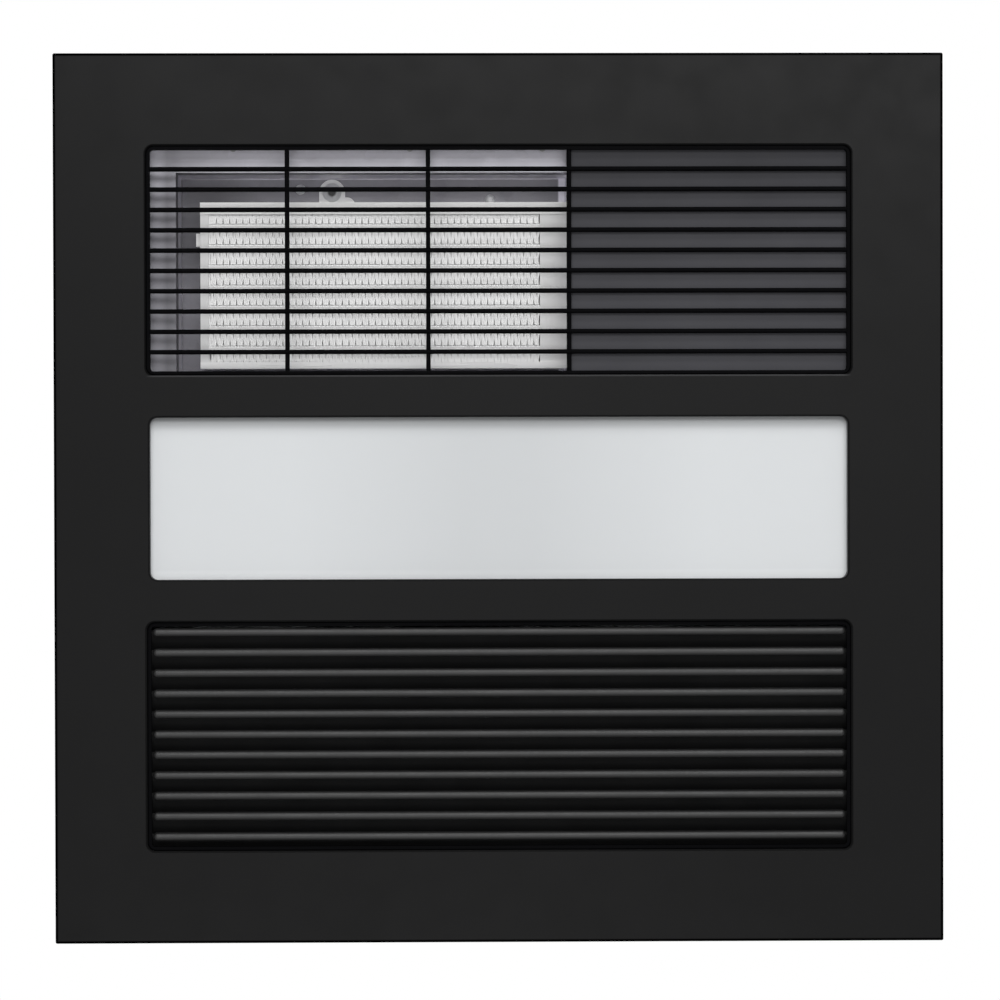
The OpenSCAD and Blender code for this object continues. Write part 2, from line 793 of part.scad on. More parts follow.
module led_driver() {
    z1 = housing_h - sheet_t;
    color(ivory) difference() {
        union() {
            translate([driver_x, driver_y + 30, z1 - 24]) linear_extrude(24) rounded(82, 34, 4);
            translate([driver_x, driver_y + 30, z1 - 2]) linear_extrude(2) rounded(104, 18, 4);
        }
        driver_screw_places() cylinder(r = 1.7, h = 12, center = true);
    }
}

module motor_capacitor() {
    color(ivory) {
        translate([95, divider_y - 11, 62]) linear_extrude(32) rounded(42, 20, 3);
        for (x = [88, 102]) block([x - 3, divider_y - 11.4, 94 - eps], [x + 3, divider_y - 10.6, 102]);
        difference() {
            block([116 - eps, divider_y - 2, 68], [128, divider_y, 86]);
            translate([122, divider_y - 3, 77]) rotate([-90, 0, 0]) cylinder(r = 2, h = 5);
        }
        block([115, divider_y - 6, 68], [116.5, divider_y, 86]);
    }
}

module terminal_box() {
    color(grey) difference() {
        translate([box_x, box_y, housing_h]) linear_extrude(box_h) rounded(box_w, box_d, 4);
        translate([box_x, box_y, housing_h + 2]) linear_extrude(box_h) rounded(box_w - 4, box_d - 4, 2);
        translate([box_x + 15, box_y, housing_h - 1]) cylinder(r = 8, h = 5);
        box_screw_places() cylinder(r = 1.7, h = 12, center = true);
        translate([box_x + box_w / 2 - 4, box_y, housing_h + 14]) along_x() cylinder(r = 8, h = 8);
    }
    color(grey) for (sx = [-1, 1], sy = [-1, 1])
        translate([box_x + sx * (box_w / 2 - 5), box_y + sy * (box_d / 2 - 5), housing_h + 1.5])
            tube(3.4, 1.2, box_h - 1.5);
}

module terminal_cover() {
    z = housing_h + box_h;
    color(grey) difference() {
        union() {
            translate([box_x, box_y, z]) linear_extrude(2) rounded(box_w, box_d, 4);
            translate([box_x, box_y, z - 2]) linear_extrude(2 + eps) difference() {
                rounded(box_w - 20, box_d - 4.6, 2);
                rounded(box_w - 23, box_d - 7.6, 1);
            }
        }
        for (sx = [-1, 1], sy = [-1, 1])
            translate([box_x + sx * (box_w / 2 - 5), box_y + sy * (box_d / 2 - 5), z - 3])
                cylinder(r = 1.2, h = 8);
    }
}

module cover_screws() {
    color(steel) {
        for (sx = [-1, 1], sy = [-1, 1])
            translate([box_x + sx * (box_w / 2 - 5), box_y + sy * (box_d / 2 - 5), housing_h + box_h + 2])
                pan_screw(1.2, 7, 2.8, 1.6);
        swing_screw_places() pan_screw(1.5, 4, 2.8, 1.6);
    }
}

module terminal_block() {
    ways = 5;
    way = 10;
    color(ivory) translate([box_x - ways * way / 2 - 6, box_y - 9, housing_h + 2]) difference() {
        union() {
            cube([ways * way, 18, 10]);
            for (i = [0:ways - 1]) translate([i * way + 1, 3, 10 - eps]) cube([way - 2, 12, 6]);
        }
        for (i = [0:ways - 1]) translate([(i + 0.5) * way, 0, 0]) {
            for (y = [6, 12]) translate([0, y, 8]) cylinder(r = 2, h = 10, $fn = 24);
            translate([0, 20, 5]) along_y() cylinder(r = 2.2, h = 22, $fn = 24);
        }
    }
}

// Cable gland with a hexagon body, a domed nut and a true bore
gland_x = box_x + box_w / 2;
module cable_gland() {
    color(black) translate([gland_x, box_y, housing_h + 14]) along_x() difference() {
        union() {
            translate([0, 0, -6]) cylinder(r = 8, h = 10);
            cylinder(r = 11, h = 5, $fn = 6);
            translate([0, 0, 5 - eps]) cylinder(r = 9.4, h = 9);
            translate([0, 0, -2 - 3]) cylinder(r = 10.5, h = 3, $fn = 6);
        }
        translate([0, 0, -8]) cylinder(r = 5, h = 30);
    }
}

module earth_screw() {
    color(brass) translate([earth_x, earth_y, housing_h]) {
        pan_screw(2, 6, 4, 2.6);
    }
}

// Air chamber and diverter

module air_chamber() {
    color(slate) {
        difference() {
            block([chamber_x0, chamber_y0, chamber_z0], [chamber_x1, chamber_y1, chamber_z1]);
            block([chamber_x0 + chamber_t, chamber_y0 + chamber_t, chamber_z0 - over],
                  [chamber_x1 - chamber_t, chamber_y1 - chamber_t, chamber_z1 - chamber_t]);
            translate([duct_x, chamber_y0 + 4, duct_cz]) along_y() cylinder(r = hole_r, h = 8);
            block([outlet_x0, chamber_y1 - 4, scroll_z0 + scroll_t],
                  [outlet_x1, chamber_y1 + 2, scroll_z1 - scroll_t]);
            for (x = [chamber_x0, chamber_x1 - chamber_t]) translate([x - over, swing_y, swing_z])
                along_x() cylinder(r = bush_r, h = chamber_t + 2 * over);
            spigot_screw_places() cylinder(r = 1.7, h = 14, center = true);
            swing_screw_places() cylinder(r = 1.5, h = 10, center = true);
        }
        translate([duct_x, chamber_y0 + chamber_t, duct_cz]) rotate([-90, 0, 0]) tube(51, hole_r, 3);
    }
}

module diverter_seal() {
    color(foam) difference() {
        block([chamber_x0 + chamber_t, -151, chamber_z0], [chamber_x1 - chamber_t, chamber_y1 - chamber_t,
              swing_z - flap_t - 0.3]);
        block([fins_x0 - 9, -146, chamber_z0 - over], [fins_x1 + 9, -57, swing_z]);
    }
}

module bush() {
    difference() {
        union() {
            cylinder(r = bush_r, h = chamber_t);
            translate([0, 0, chamber_t]) cylinder(r = 6, h = 1.5);
        }
        translate([0, 0, -over]) cylinder(r = swing_r + run_gap, h = 8);
    }
}

module diverter_bushes() {
    color(ivory) {
        translate([chamber_x1 - chamber_t, swing_y, swing_z]) along_x() bush();
        translate([chamber_x0 + chamber_t, swing_y, swing_z]) rotate([0, -90, 0]) bush();
    }
}

knuckles = [[chamber_x0 + 3, -128], [-108, -92], [-26, -10], [12, chamber_x1 - 3]];
module diverter_flap() {
    y1 = swing_y + flap_l;
    color(zinc) difference() {
        union() {
            block([chamber_x0 + 3, swing_y, swing_z - flap_t], [chamber_x1 - 3, y1, swing_z]);
            for (k = knuckles) translate([k[0], swing_y, swing_z]) along_x()
                cylinder(r = 3.3, h = k[1] - k[0]);
            for (x = [-118, -59, 0]) block([x - 3, swing_y + 8, swing_z - eps], [x + 3, y1 - 6, swing_z + 2]);
        }
        translate([chamber_x0, swing_y, swing_z]) along_x() cylinder(r = swing_r, h = 220);
    }
}

module diverter_shaft() {
    color(steel) translate([chamber_x0 - 1.5, swing_y, swing_z]) along_x()
        cylinder(r = swing_r, h = 196);
}

// Synchronous gear motor that turns the diverter shaft
swing_can_y = -138;
swing_can_z = 66;
module swing_screw_places() {
    for (side = [-1, 1]) translate([chamber_x1 + 2.7, swing_can_y, swing_can_z + side * 24])
        rotate([0, 90, 0]) children();
}

module swing_motor() {
    x0 = chamber_x1 + 1.6;
    reach = sqrt(pow(swing_can_y - swing_y, 2) + pow(swing_can_z - swing_z, 2));
    lean = atan2(swing_can_y - swing_y, swing_can_z - swing_z);
    color(steel) difference() {
        union() {
            translate([x0 + 5, swing_can_y, swing_can_z]) along_x() cylinder(r = 19, h = 11);
            translate([x0, swing_can_y, swing_can_z]) along_x() cylinder(r = 19.6, h = 5 + eps);
            translate([x0, swing_y, swing_z]) along_x() cylinder(r = 6.4, h = 8);
            translate([x0, swing_y, swing_z]) rotate([-lean, 0, 0]) block([0, -6.4, 0], [5, 6.4, reach]);
            translate([x0, swing_can_y, swing_can_z]) along_x() for (side = [-1, 1])
                translate([side * 24, 0, 0]) cylinder(r = 5, h = 1.1);
            block([x0, swing_can_y - 5, swing_can_z - 24], [x0 + 1.1, swing_can_y + 5, swing_can_z + 24]);
        }
        translate([x0 - over, swing_y, swing_z]) along_x() cylinder(r = swing_r + run_gap, h = 20);
        swing_screw_places() cylinder(r = 1.5, h = 10, center = true);
    }
    color(brass) translate([x0 + 8 - eps, swing_y, swing_z]) along_x() difference() {
        cylinder(r = 6.4, h = 1);
        translate([0, 0, -over]) cylinder(r = 1, h = 1 + over - 0.4, $fn = 16);
    }
}

// Blower. The scroll is drawn with the four-centre method: each quarter has its own centre and a
// radius one step smaller than the quarter before it, so the arcs meet without a corner.

outlet_x0 = fan_x - scroll_step / 2 - scroll_r;
outlet_x1 = -72;
module quarter(side_x, side_y, centre, r) {
    intersection() {
        translate(centre) circle(r, $fn = 96);
        translate([side_x > 0 ? centre[0] : centre[0] - 200, side_y > 0 ? centre[1] : centre[1] - 200])
            square(200);
    }
}

module scroll_outline(grow) {
    s = scroll_step / 2;
    r = scroll_r + grow;
    quarter(-1, 1, [fan_x - s, fan_y - s], r);
    quarter(1, 1, [fan_x - s, fan_y + s], r - scroll_step);
    quarter(1, -1, [fan_x + s, fan_y + s], r - 2 * scroll_step);
    quarter(-1, -1, [fan_x + s, fan_y - s], r - 3 * scroll_step);
    translate([outlet_x0 - grow, chamber_y1]) square([outlet_x1 - outlet_x0 + 2 * grow,
        fan_y - s - chamber_y1]);
    translate([fan_x - s, fan_y - s]) square([2 * s, 2 * s]);
    translate([outlet_x0 + 10, fan_y - s - 1]) square([fan_x - outlet_x0, 2 * s + 2]);
}

module scroll_casing() {
    h = scroll_z1 - scroll_z0;
    color(zinc) difference() {
        union() {
            translate([0, 0, scroll_z0]) linear_extrude(h) scroll_outline(scroll_t);
            for (z = [scroll_z0, scroll_z1 - 1]) translate([0, 0, z]) linear_extrude(1) intersection() {
                scroll_outline(scroll_t + 3);
                translate([-200, chamber_y1]) square(400);
            }
        }
        translate([0, 0, scroll_z0 + scroll_t]) linear_extrude(h - 2 * scroll_t) intersection() {
            scroll_outline(0);
            translate([-200, chamber_y1 - 1]) square(400);
        }
        block([outlet_x0, chamber_y1 - 1, scroll_z0 + scroll_t],
              [outlet_x1, chamber_y1 + 4, scroll_z1 - scroll_t]);
        translate([fan_x, fan_y, scroll_z0 - over]) cylinder(r = 71, h = 4);
        translate([fan_x, fan_y, scroll_z1 - 3]) cylinder(r = 50, h = 6);
        for (turn = [45:90:315]) translate([fan_x, fan_y, scroll_z1 - 3]) rotate([0, 0, turn])
            translate([56, 0, 0]) cylinder(r = 1.7, h = 6);
        pillar_places() translate([0, 0, scroll_z1 - 3]) cylinder(r = 1.7, h = 6);
        ring_screw_places() cylinder(r = 1.7, h = 12, center = true);
    }
    color(zinc) translate([outlet_x1 + 1, tongue_y, scroll_z0 + eps]) cylinder(r = 2.6, h = h - 2 * eps);
}

// The tongue is where the last quarter meets the outlet wall
tongue_dx = fan_x + scroll_step / 2 - outlet_x1;
tongue_r = scroll_r - 3 * scroll_step;
tongue_y = fan_y - scroll_step / 2 - sqrt(tongue_r * tongue_r - tongue_dx * tongue_dx);

module ring_screw_places() {
    for (turn = [0:60:300]) translate([fan_x, fan_y, scroll_z0 - 1.2]) rotate([0, 0, turn])
        translate([78, 0, 0]) rotate([180, 0, 0]) children();
}

// Bell mouth under the scroll, turned up into the impeller's eye
module inlet_ring() {
    throat = eye_r - 2.6;
    curve = 10;
    color(zinc) translate([fan_x, fan_y, 0]) difference() {
        rotate_extrude($fn = 96) {
            translate([throat + curve, scroll_z0 - 1.2]) square([83 - throat - curve, 1.2]);
            translate([throat + curve, scroll_z0 - 1.2 + curve]) intersection() {
                difference() {
                    circle(curve);
                    circle(curve - 1.2);
                }
                translate([-curve, -curve]) square(curve);
            }
        }
        translate([-fan_x, -fan_y, 0]) ring_screw_places() cylinder(r = 1.7, h = 12, center = true);
    }
}

// Forward curved blades between a back plate above and a shroud ring below
module blade_outline() {
    curve = 9;
    root = eye_r - 0.4;
    translate([root + 5.6, -curve + 2.5]) intersection() {
        difference() {
            circle(curve + blade_t / 2, $fn = 48);
            circle(curve - blade_t / 2, $fn = 48);
        }
        translate([-6, 0]) square([14.4, curve + 2]);
    }
}

module impeller() {
    z0 = 52;
    z1 = 120;
    color(steel) translate([fan_x, fan_y, 0]) difference() {
        union() {
            translate([0, 0, z0 + 1]) linear_extrude(z1 - z0 - 2) intersection() {
                for (i = [0:blade_count - 1]) rotate(i * 360 / blade_count) blade_outline();
                difference() {
                    circle(impeller_r - 0.3, $fn = 96);
                    circle(eye_r - 0.2, $fn = 96);
                }
            }
            translate([0, 0, z0]) tube(impeller_r, eye_r, 1.5);
            translate([0, 0, z1 - 1.5]) tube(impeller_r, 30, 1.5);
            translate([0, 0, 112]) rotate_extrude() polygon([[8, 0], [11, 0], [31, 6.5], [31, 8],
                                                             [29, 8], [11, 1.6], [8, 1.6]]);
            translate([0, 0, 104]) cylinder(r = 9, h = 12);
        }
        translate([0, 0, 100]) cylinder(r = shaft_r, h = 30);
    }
}

module impeller_nut() {
    color(brass) translate([fan_x, fan_y, 98]) difference() {
        cylinder(r = 7.5, h = 6, $fn = 6);
        translate([0, 0, -over]) cylinder(r = shaft_r, h = 8);
    }
}

module motor_shaft() {
    color(steel) translate([fan_x, fan_y, 94]) difference() {
        cylinder(r = shaft_r, h = 89);
        translate([0, 0, 89 - 1]) cylinder(r = 1.2, h = 2);
    }
}

module motor_rotor() {
    color(grey) translate([fan_x, fan_y, stack_z0]) difference() {
        union() {
            cylinder(r = 21.4, h = stack_h);
            for (z = [-4, stack_h - eps]) translate([0, 0, z]) tube(20, 13, 4 + eps);
        }
        translate([0, 0, -6]) cylinder(r = shaft_r, h = stack_h + 12);
    }
}

module scroll_pillars() {
    h = housing_h - sheet_t - scroll_z1;
    color(steel) pillar_places() translate([0, 0, scroll_z1]) {
        difference() {
            cylinder(r = 4.6, h = h, $fn = 6);
            translate([0, 0, h - 7]) cylinder(r = 1.7, h = 8);
        }
        translate([0, 0, -scroll_t]) cylinder(r = 1.7, h = scroll_t + eps);
    }
}

module motor_plate() {
    color(zinc) translate([fan_x, fan_y, scroll_z1]) difference() {
        union() {
            cylinder(r = 61, h = 2);
            for (turn = [0:90:270]) rotate([0, 0, turn]) translate([20, -2, 2 - eps]) cube([18, 4, 1.2]);
        }
        translate([0, 0, -over]) cylinder(r = 8, h = 6);
        for (turn = [45:90:315]) rotate([0, 0, turn]) translate([56, 0, -over]) cylinder(r = 1.7, h = 4);
        for (turn = [0:120:240]) rotate([0, 0, turn + 30]) translate([grommet_ring, 0, -over])
            cylinder(r = 1.8, h = 4);
    }
}

module blower_screws() {
    color(steel) {
        ring_screw_places() pan_screw(1.7, 4, 3.2, 2);
        pillar_places() translate([0, 0, housing_h]) pan_screw(1.7, 6, 3.2, 2);
        for (turn = [45:90:315]) translate([fan_x, fan_y, motor_z]) rotate([0, 0, turn])
            translate([56, 0, 0]) pan_screw(1.7, 4, 3.2, 2);
    }
}

module grommet_places(z) {
    for (turn = [0:120:240]) translate([fan_x, fan_y, z]) rotate([0, 0, turn + 30])
        translate([grommet_ring, 0, 0]) children();
}

module motor_grommets() {
    color(foam) grommet_places(motor_z) rotate_extrude() difference() {
        translate([1.8, 0]) square([3.6, 4]);
        translate([6.2, 2]) circle(1.4, $fn = 32);
    }
}

module motor_screws() {
    color(steel) grommet_places(can_z0 + 2) pan_screw(1.8, 8, 3.4, 2.2);
}

module motor_bracket() {
    color(steel) difference() {
        union() {
            translate([fan_x, fan_y, can_z0]) {
                tube(can_r, can_r - 1.5, 22);
                cylinder(r = can_r, h = 2);
                tube(11, 9, 8);
            }
            grommet_places(can_z0) {
                cylinder(r = 6, h = 2);
                block([-8, -6, 0], [0, 6, 2]);
            }
        }
        translate([fan_x, fan_y, can_z0 - over]) cylinder(r = 6, h = 6);
        grommet_places(can_z0 - over) cylinder(r = 1.8, h = 6);
        for (turn = [0:60:300]) translate([fan_x, fan_y, can_z0 + 14]) rotate([0, 0, turn])
            translate([can_r, 0, 0]) along_x() cylinder(r = 3, h = 8, center = true);
    }
}

module motor_cover() {
    z0 = can_z0 + 22;
    crown = 5;
    h = can_z1 - z0;
    color(steel) translate([fan_x, fan_y, z0]) difference() {
        union() {
            rotate_extrude() difference() {
                union() {
                    square([can_r - crown, h]);
                    square([can_r, h - crown]);
                    translate([can_r - crown, h - crown]) circle(crown, $fn = 48);
                }
                translate([0, -over]) {
                    square([can_r - crown, h - 1.5 + over]);
                    square([can_r - 1.5, h - crown + over]);
                }
                translate([can_r - crown, h - crown]) circle(crown - 1.5, $fn = 48);
            }
            translate([0, 0, h - 9]) tube(11, 9, 8);
        }
        for (turn = [0:45:315]) rotate([0, 0, turn]) translate([22, 0, h - 4]) {
            translate([0, -1.5, 0]) cube([10, 3, 6]);
            for (x = [0, 10]) translate([x, 0, 0]) cylinder(r = 1.5, h = 6, $fn = 24);
        }
    }
}

module motor_stator() {
    poles = 8;
    color(steel) translate([fan_x, fan_y, stack_z0]) linear_extrude(stack_h) difference() {
        circle(can_r - 1.7, $fn = 96);
        circle(22, $fn = 96);
        for (i = [0:poles - 1]) rotate(i * 360 / poles) {
            translate([28, -3.5]) square([4, 7]);
            translate([28, 0]) circle(3.5, $fn = 32);
            translate([32, 0]) circle(3.5, $fn = 32);
            translate([20, -0.8]) square([8, 1.6]);
        }
    }
}

module motor_windings() {
    color(copper) for (z = [stack_z0 - 6, stack_z0 + stack_h])
        translate([fan_x, fan_y, z]) rotate_extrude($fn = 96) {
            translate([25.5, 1.5]) square([8, 3]);
            translate([27, 0]) square([5, 6]);
            for (x = [27, 32], y = [1.5, 4.5]) translate([x, y]) circle(1.5, $fn = 24);
        }
}

module motor_bearings() {
    color(brass) for (z = [can_z0 + 2, can_z1 - 9]) translate([fan_x, fan_y, z]) difference() {
        cylinder(r = 9, h = 6);
        translate([0, 0, -over]) cylinder(r = shaft_r + run_gap, h = 8);
    }
}

// Duct

module duct_gasket() {
    color(foam) translate([duct_x, -inner_w, duct_cz]) rotate([-90, 0, 0]) tube(50.8, hole_r + 1, 2);
}

module duct_spigot() {
    bore = spigot_r - spigot_t;
    color(slate) difference() {
        translate([duct_x, spigot_y, duct_cz]) along_y() difference() {
            union() {
                cylinder(r = 56.4, h = 2);
                cylinder(r = spigot_r, h = spigot_l - 2);
                translate([0, 0, spigot_l - 2 - eps])
                    cylinder(r1 = spigot_r, r2 = spigot_r - 0.8, h = 2 + eps);
            }
            translate([0, 0, -over]) cylinder(r = bore, h = seat_y + over);
            difference() {
                translate([0, 0, seat_y - over]) cylinder(r = bore - 2.5, h = 1 + 2 * over);
                block([-bar_side, -bore, seat_y], [bar_side, bore, seat_y + 1]);
            }
            translate([0, 0, seat_y + 1]) cylinder(r = bore, h = spigot_l);
        }
        spigot_screw_places() cylinder(r = 1.7, h = 12, center = true);
        pin_places() cylinder(r = pin_r, h = 2 * pin_reach + 0.4, center = true);
    }
}

module pin_places() {
    for (side = [-1, 1]) translate([duct_x + side * pin_side, pin_y, duct_cz]) children();
}

module flap_pin() {
    color(steel) pin_places() cylinder(r = pin_r, h = 2 * pin_reach, center = true);
}

// Half of a disc with two knuckles and two ribs, drawn for the -X side with its pin on the Z axis
module backdraft_leaf() {
    r = spigot_r - spigot_t - 1.2;
    knuckle_r = 2.6;
    knuckle_l = 24;
    knuckle_z = 28;
    rib_reach = sqrt(r * r - (knuckle_z + 1) * (knuckle_z + 1)) - pin_side - 1;
    difference() {
        union() {
            intersection() {
                translate([pin_side, leaf_back, 0]) along_y() cylinder(r = r, h = leaf_t);
                block([-r, 0, -r], [0.5, leaf_back, r]);
            }
            for (side = [-1, 1]) translate([0, 0, side * knuckle_z]) {
                cylinder(r = knuckle_r, h = knuckle_l, center = true);
                block([-3, 0, -knuckle_l / 2], [0, leaf_back, knuckle_l / 2]);
                block([-rib_reach, leaf_back - leaf_t - 1.4, -0.6], [-2, leaf_back - 0.5, 0.6]);
            }
        }
        cylinder(r = pin_r + run_gap, h = 2 * spigot_r, center = true);
    }
}

module backdraft_flap_left() {
    color(slate) translate([duct_x - pin_side, pin_y, duct_cz]) backdraft_leaf();
}

module backdraft_flap_right() {
    color(slate) translate([duct_x + pin_side, pin_y, duct_cz]) rotate([0, 180, 0]) backdraft_leaf();
}

fascia_frame();
heater_grille();
blanking_plate();
intake_louvre();
light_diffuser();
light_tray();
led_board();
led_chips();
tray_screws();
housing_shell();
fascia_clips();
pop_rivets();
heater_gasket();
heater_duct();
ptc_frame();
ptc_tubes();
ptc_fins();
ptc_end_caps();
ptc_terminals();
ptc_screws();
thermostat();
thermal_fuse();
divider_panel();
service_cover();
body_screws();
cover_screws();
air_chamber();
diverter_seal();
diverter_bushes();
diverter_flap();
diverter_shaft();
swing_motor();
scroll_casing();
inlet_ring();
scroll_pillars();
blower_screws();
impeller();
impeller_nut();
motor_shaft();
motor_rotor();
motor_plate();
motor_grommets();
motor_screws();
motor_bracket();
motor_cover();
motor_stator();
motor_windings();
motor_bearings();
duct_gasket();
duct_spigot();
flap_pin();
backdraft_flap_left();
backdraft_flap_right();
terminal_box();
terminal_cover();
terminal_block();
cable_gland();
led_driver();
motor_capacitor();
earth_screw();
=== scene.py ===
import json
import math

import bpy
from mathutils import Matrix, Vector


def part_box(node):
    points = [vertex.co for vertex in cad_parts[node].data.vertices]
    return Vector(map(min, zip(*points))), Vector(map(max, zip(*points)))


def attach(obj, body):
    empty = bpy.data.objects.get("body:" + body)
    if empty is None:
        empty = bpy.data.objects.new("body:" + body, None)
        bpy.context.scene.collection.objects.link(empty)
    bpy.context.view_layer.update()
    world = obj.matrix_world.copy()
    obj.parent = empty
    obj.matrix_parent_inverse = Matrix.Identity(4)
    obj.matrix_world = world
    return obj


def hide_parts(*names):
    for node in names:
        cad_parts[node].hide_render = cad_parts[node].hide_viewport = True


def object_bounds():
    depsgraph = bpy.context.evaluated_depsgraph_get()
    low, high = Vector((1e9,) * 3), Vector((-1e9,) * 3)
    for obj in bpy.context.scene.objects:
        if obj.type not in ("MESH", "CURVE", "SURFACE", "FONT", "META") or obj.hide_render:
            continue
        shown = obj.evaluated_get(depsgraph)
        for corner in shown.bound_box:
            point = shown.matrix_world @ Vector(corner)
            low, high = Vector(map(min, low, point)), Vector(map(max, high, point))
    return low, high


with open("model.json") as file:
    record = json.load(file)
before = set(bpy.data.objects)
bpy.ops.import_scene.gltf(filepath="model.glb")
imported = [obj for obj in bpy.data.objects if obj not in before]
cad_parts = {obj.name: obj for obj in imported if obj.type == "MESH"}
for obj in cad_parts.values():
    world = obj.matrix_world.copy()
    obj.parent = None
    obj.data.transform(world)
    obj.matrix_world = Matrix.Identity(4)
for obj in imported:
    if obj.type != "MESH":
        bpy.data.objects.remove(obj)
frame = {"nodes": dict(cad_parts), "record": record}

cad_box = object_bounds()

MM = 0.001

# Driving sizes of the face, in millimetres
FACE_W = 400.0
FACE_Z = -14.0
WINDOW_W = 317.0
WINDOW_H = 103.0
WINDOW_Y = 107.0
WINDOW_BEVEL = 0.8
LIGHT_W = 314.0
LIGHT_H = 73.0
CORNER_R = 3.5
FIT_GAP = 0.3

# Places and heights in the heater outlet, in millimetres
SCREW = (-76.4, -141)
# Place round which the ledge's painted shade is darkest
DARKEST_SHADE_CORNER = (-134, -124)
RIM_Z = 15.2
LEDGE_Z = 35.5

# Gloss of the face, how much lighter the painted highlight on its bevel is, and how metallic the
# zinc is
FASCIA_SHEEN = 0.1
PAINTED_EDGE_HIGHLIGHT = 10.0
ZINC_METALLIC = 0.35


# Modelling steps

def deselect_all():
    if bpy.context.object and bpy.context.object.mode != "OBJECT":
        bpy.ops.object.mode_set(mode="OBJECT")
    bpy.ops.object.select_all(action="DESELECT")


def make_active(piece):
    deselect_all()
    piece.select_set(True)
    bpy.context.view_layer.objects.active = piece


def settle(piece, name):
    """Names a new primitive and puts its place, turn and size into its mesh."""
    piece.name = name
    make_active(piece)
    bpy.ops.object.transform_apply(location=True, rotation=True, scale=True)
    return piece


def add_block(name, low, high):
    """A block between two corners, given in millimetres."""
    deselect_all()
    low = Vector(low) * MM
    high = Vector(high) * MM
    bpy.ops.mesh.primitive_cube_add(size=1, location=(low + high) / 2)
    piece = bpy.context.object
    piece.scale = high - low
    return settle(piece, name)


def add_rod(name, start, end, radius, sides):
    """A round rod from start to end, in millimetres."""
    deselect_all()
    start = Vector(start) * MM
    end = Vector(end) * MM
    along = end - start
    bpy.ops.mesh.primitive_cylinder_add(vertices=sides, radius=radius * MM, depth=along.length,
                                        location=(start + end) / 2,
                                        rotation=along.to_track_quat("Z", "Y").to_euler())
    return settle(bpy.context.object, name)


def pick_edges(piece, test):
    """Leaves the piece in edit mode, with those edges selected whose middle and direction pass."""
    make_active(piece)
    bpy.ops.object.mode_set(mode="EDIT")
    bpy.ops.mesh.select_mode(type="EDGE")
    bpy.ops.mesh.select_all(action="DESELECT")
    bpy.ops.object.mode_set(mode="OBJECT")
    mesh = piece.data
    for edge in mesh.edges:
        a, b = (mesh.vertices[i].co for i in edge.vertices)
        edge.select = test((a + b) / (2 * MM), (b - a).normalized())
    bpy.ops.object.mode_set(mode="EDIT")


def round_edges(piece, test, radius, segments):
    pick_edges(piece, test)
    bpy.ops.mesh.bevel(offset=radius * MM, segments=segments, affect="EDGES")
    bpy.ops.object.mode_set(mode="OBJECT")
    return piece


def upright(middle, along):
    return abs(along.z) > 0.99


def apply_modifier(piece, kind, **settings):
    make_active(piece)
    modifier = piece.modifiers.new(kind.title(), kind)
    for key, value in settings.items():
        setattr(modifier, key, value)
    bpy.ops.object.modifier_apply(modifier=modifier.name)
    return piece


def combine(piece, other, operation):
    """Cuts, welds or intersects the piece with another solid, and uses the other solid up."""
    apply_modifier(piece, "BOOLEAN", object=other, operation=operation, solver="EXACT")
    bpy.data.objects.remove(other)
    return piece


def copy_of(piece, name, shift):
    """A copy with its own mesh, moved by millimetres."""
    twin = piece.copy()
    twin.data = piece.data.copy()
    twin.name = name
    bpy.context.scene.collection.objects.link(twin)
    twin.data.transform(Matrix.Translation(Vector(shift) * MM))
    return twin


def join(pieces, name):
    make_active(pieces[0])
    for piece in pieces:
        piece.select_set(True)
    bpy.ops.object.join()
    bpy.context.object.name = name
    return bpy.context.object


def smooth(piece, degrees):
    """Rounds the shading over angles below the given one, and keeps large faces flat."""
    make_active(piece)
    bpy.ops.object.shade_smooth_by_angle(angle=math.radians(degrees))
    apply_modifier(piece, "WEIGHTED_NORMAL", keep_sharp=True)


def rounded_block(name, low, high, radius, edge=0.0, segments=6):
    """A block with round upright corners, and lightly rounded rims when edge is given."""
    piece = add_block(name, low, high)
    round_edges(piece, upright, radius, segments)
    if edge:
        round_edges(piece, lambda middle, along: (
            abs(along.z) < 0.01 and min(abs(middle.z - low[2]), abs(middle.z - high[2])) < 0.01),
            edge, 2)
    return piece


def finish_piece(piece, body, slot, *nodes, degrees=35):
    """Shades the piece, gives it its finish, and puts it on its body in place of the nodes."""
    smooth(piece, degrees)
    piece.data.materials.clear()
    piece.data.materials.append(finishes[slot])
    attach(piece, body)
    if nodes:
        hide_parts(*nodes)


# Materials

def new_finish(name, colour, roughness, metallic=0.0, specular=0.5):
    material = bpy.data.materials.new(name)
    material.use_nodes = True
    shader = material.node_tree.nodes["Principled BSDF"]
    shader.inputs["Base Color"].default_value = (*colour, 1)
    shader.inputs["Roughness"].default_value = roughness
    shader.inputs["Metallic"].default_value = metallic
    shader.inputs["Specular IOR Level"].default_value = specular
    return material


def add_node(material, kind, inputs=None, **settings):
    node = material.node_tree.nodes.new(kind)
    for key, value in settings.items():
        setattr(node, key, value)
    for key, value in (inputs or {}).items():
        if isinstance(value, bpy.types.NodeSocket):
            material.node_tree.links.new(value, node.inputs[key])
        else:
            node.inputs[key].default_value = value
    return node


def object_coordinates(material, stretch=(1, 1, 1)):
    place = add_node(material, "ShaderNodeTexCoord").outputs["Object"]
    return add_node(material, "ShaderNodeMapping", {"Vector": place, "Scale": stretch}
                    ).outputs["Vector"]


def noise(material, scale, detail=3.0, stretch=(1, 1, 1)):
    return add_node(material, "ShaderNodeTexNoise",
                    {"Vector": object_coordinates(material, stretch), "Scale": scale,
                     "Detail": detail, "Roughness": 0.5}).outputs["Fac"]


def blend_range(material, value, low, high):
    """Maps a 0 to 1 pattern onto a range of numbers."""
    return add_node(material, "ShaderNodeMapRange",
                    {"Value": value, "From Min": 0.25, "From Max": 0.75, "To Min": low,
                     "To Max": high}).outputs["Result"]


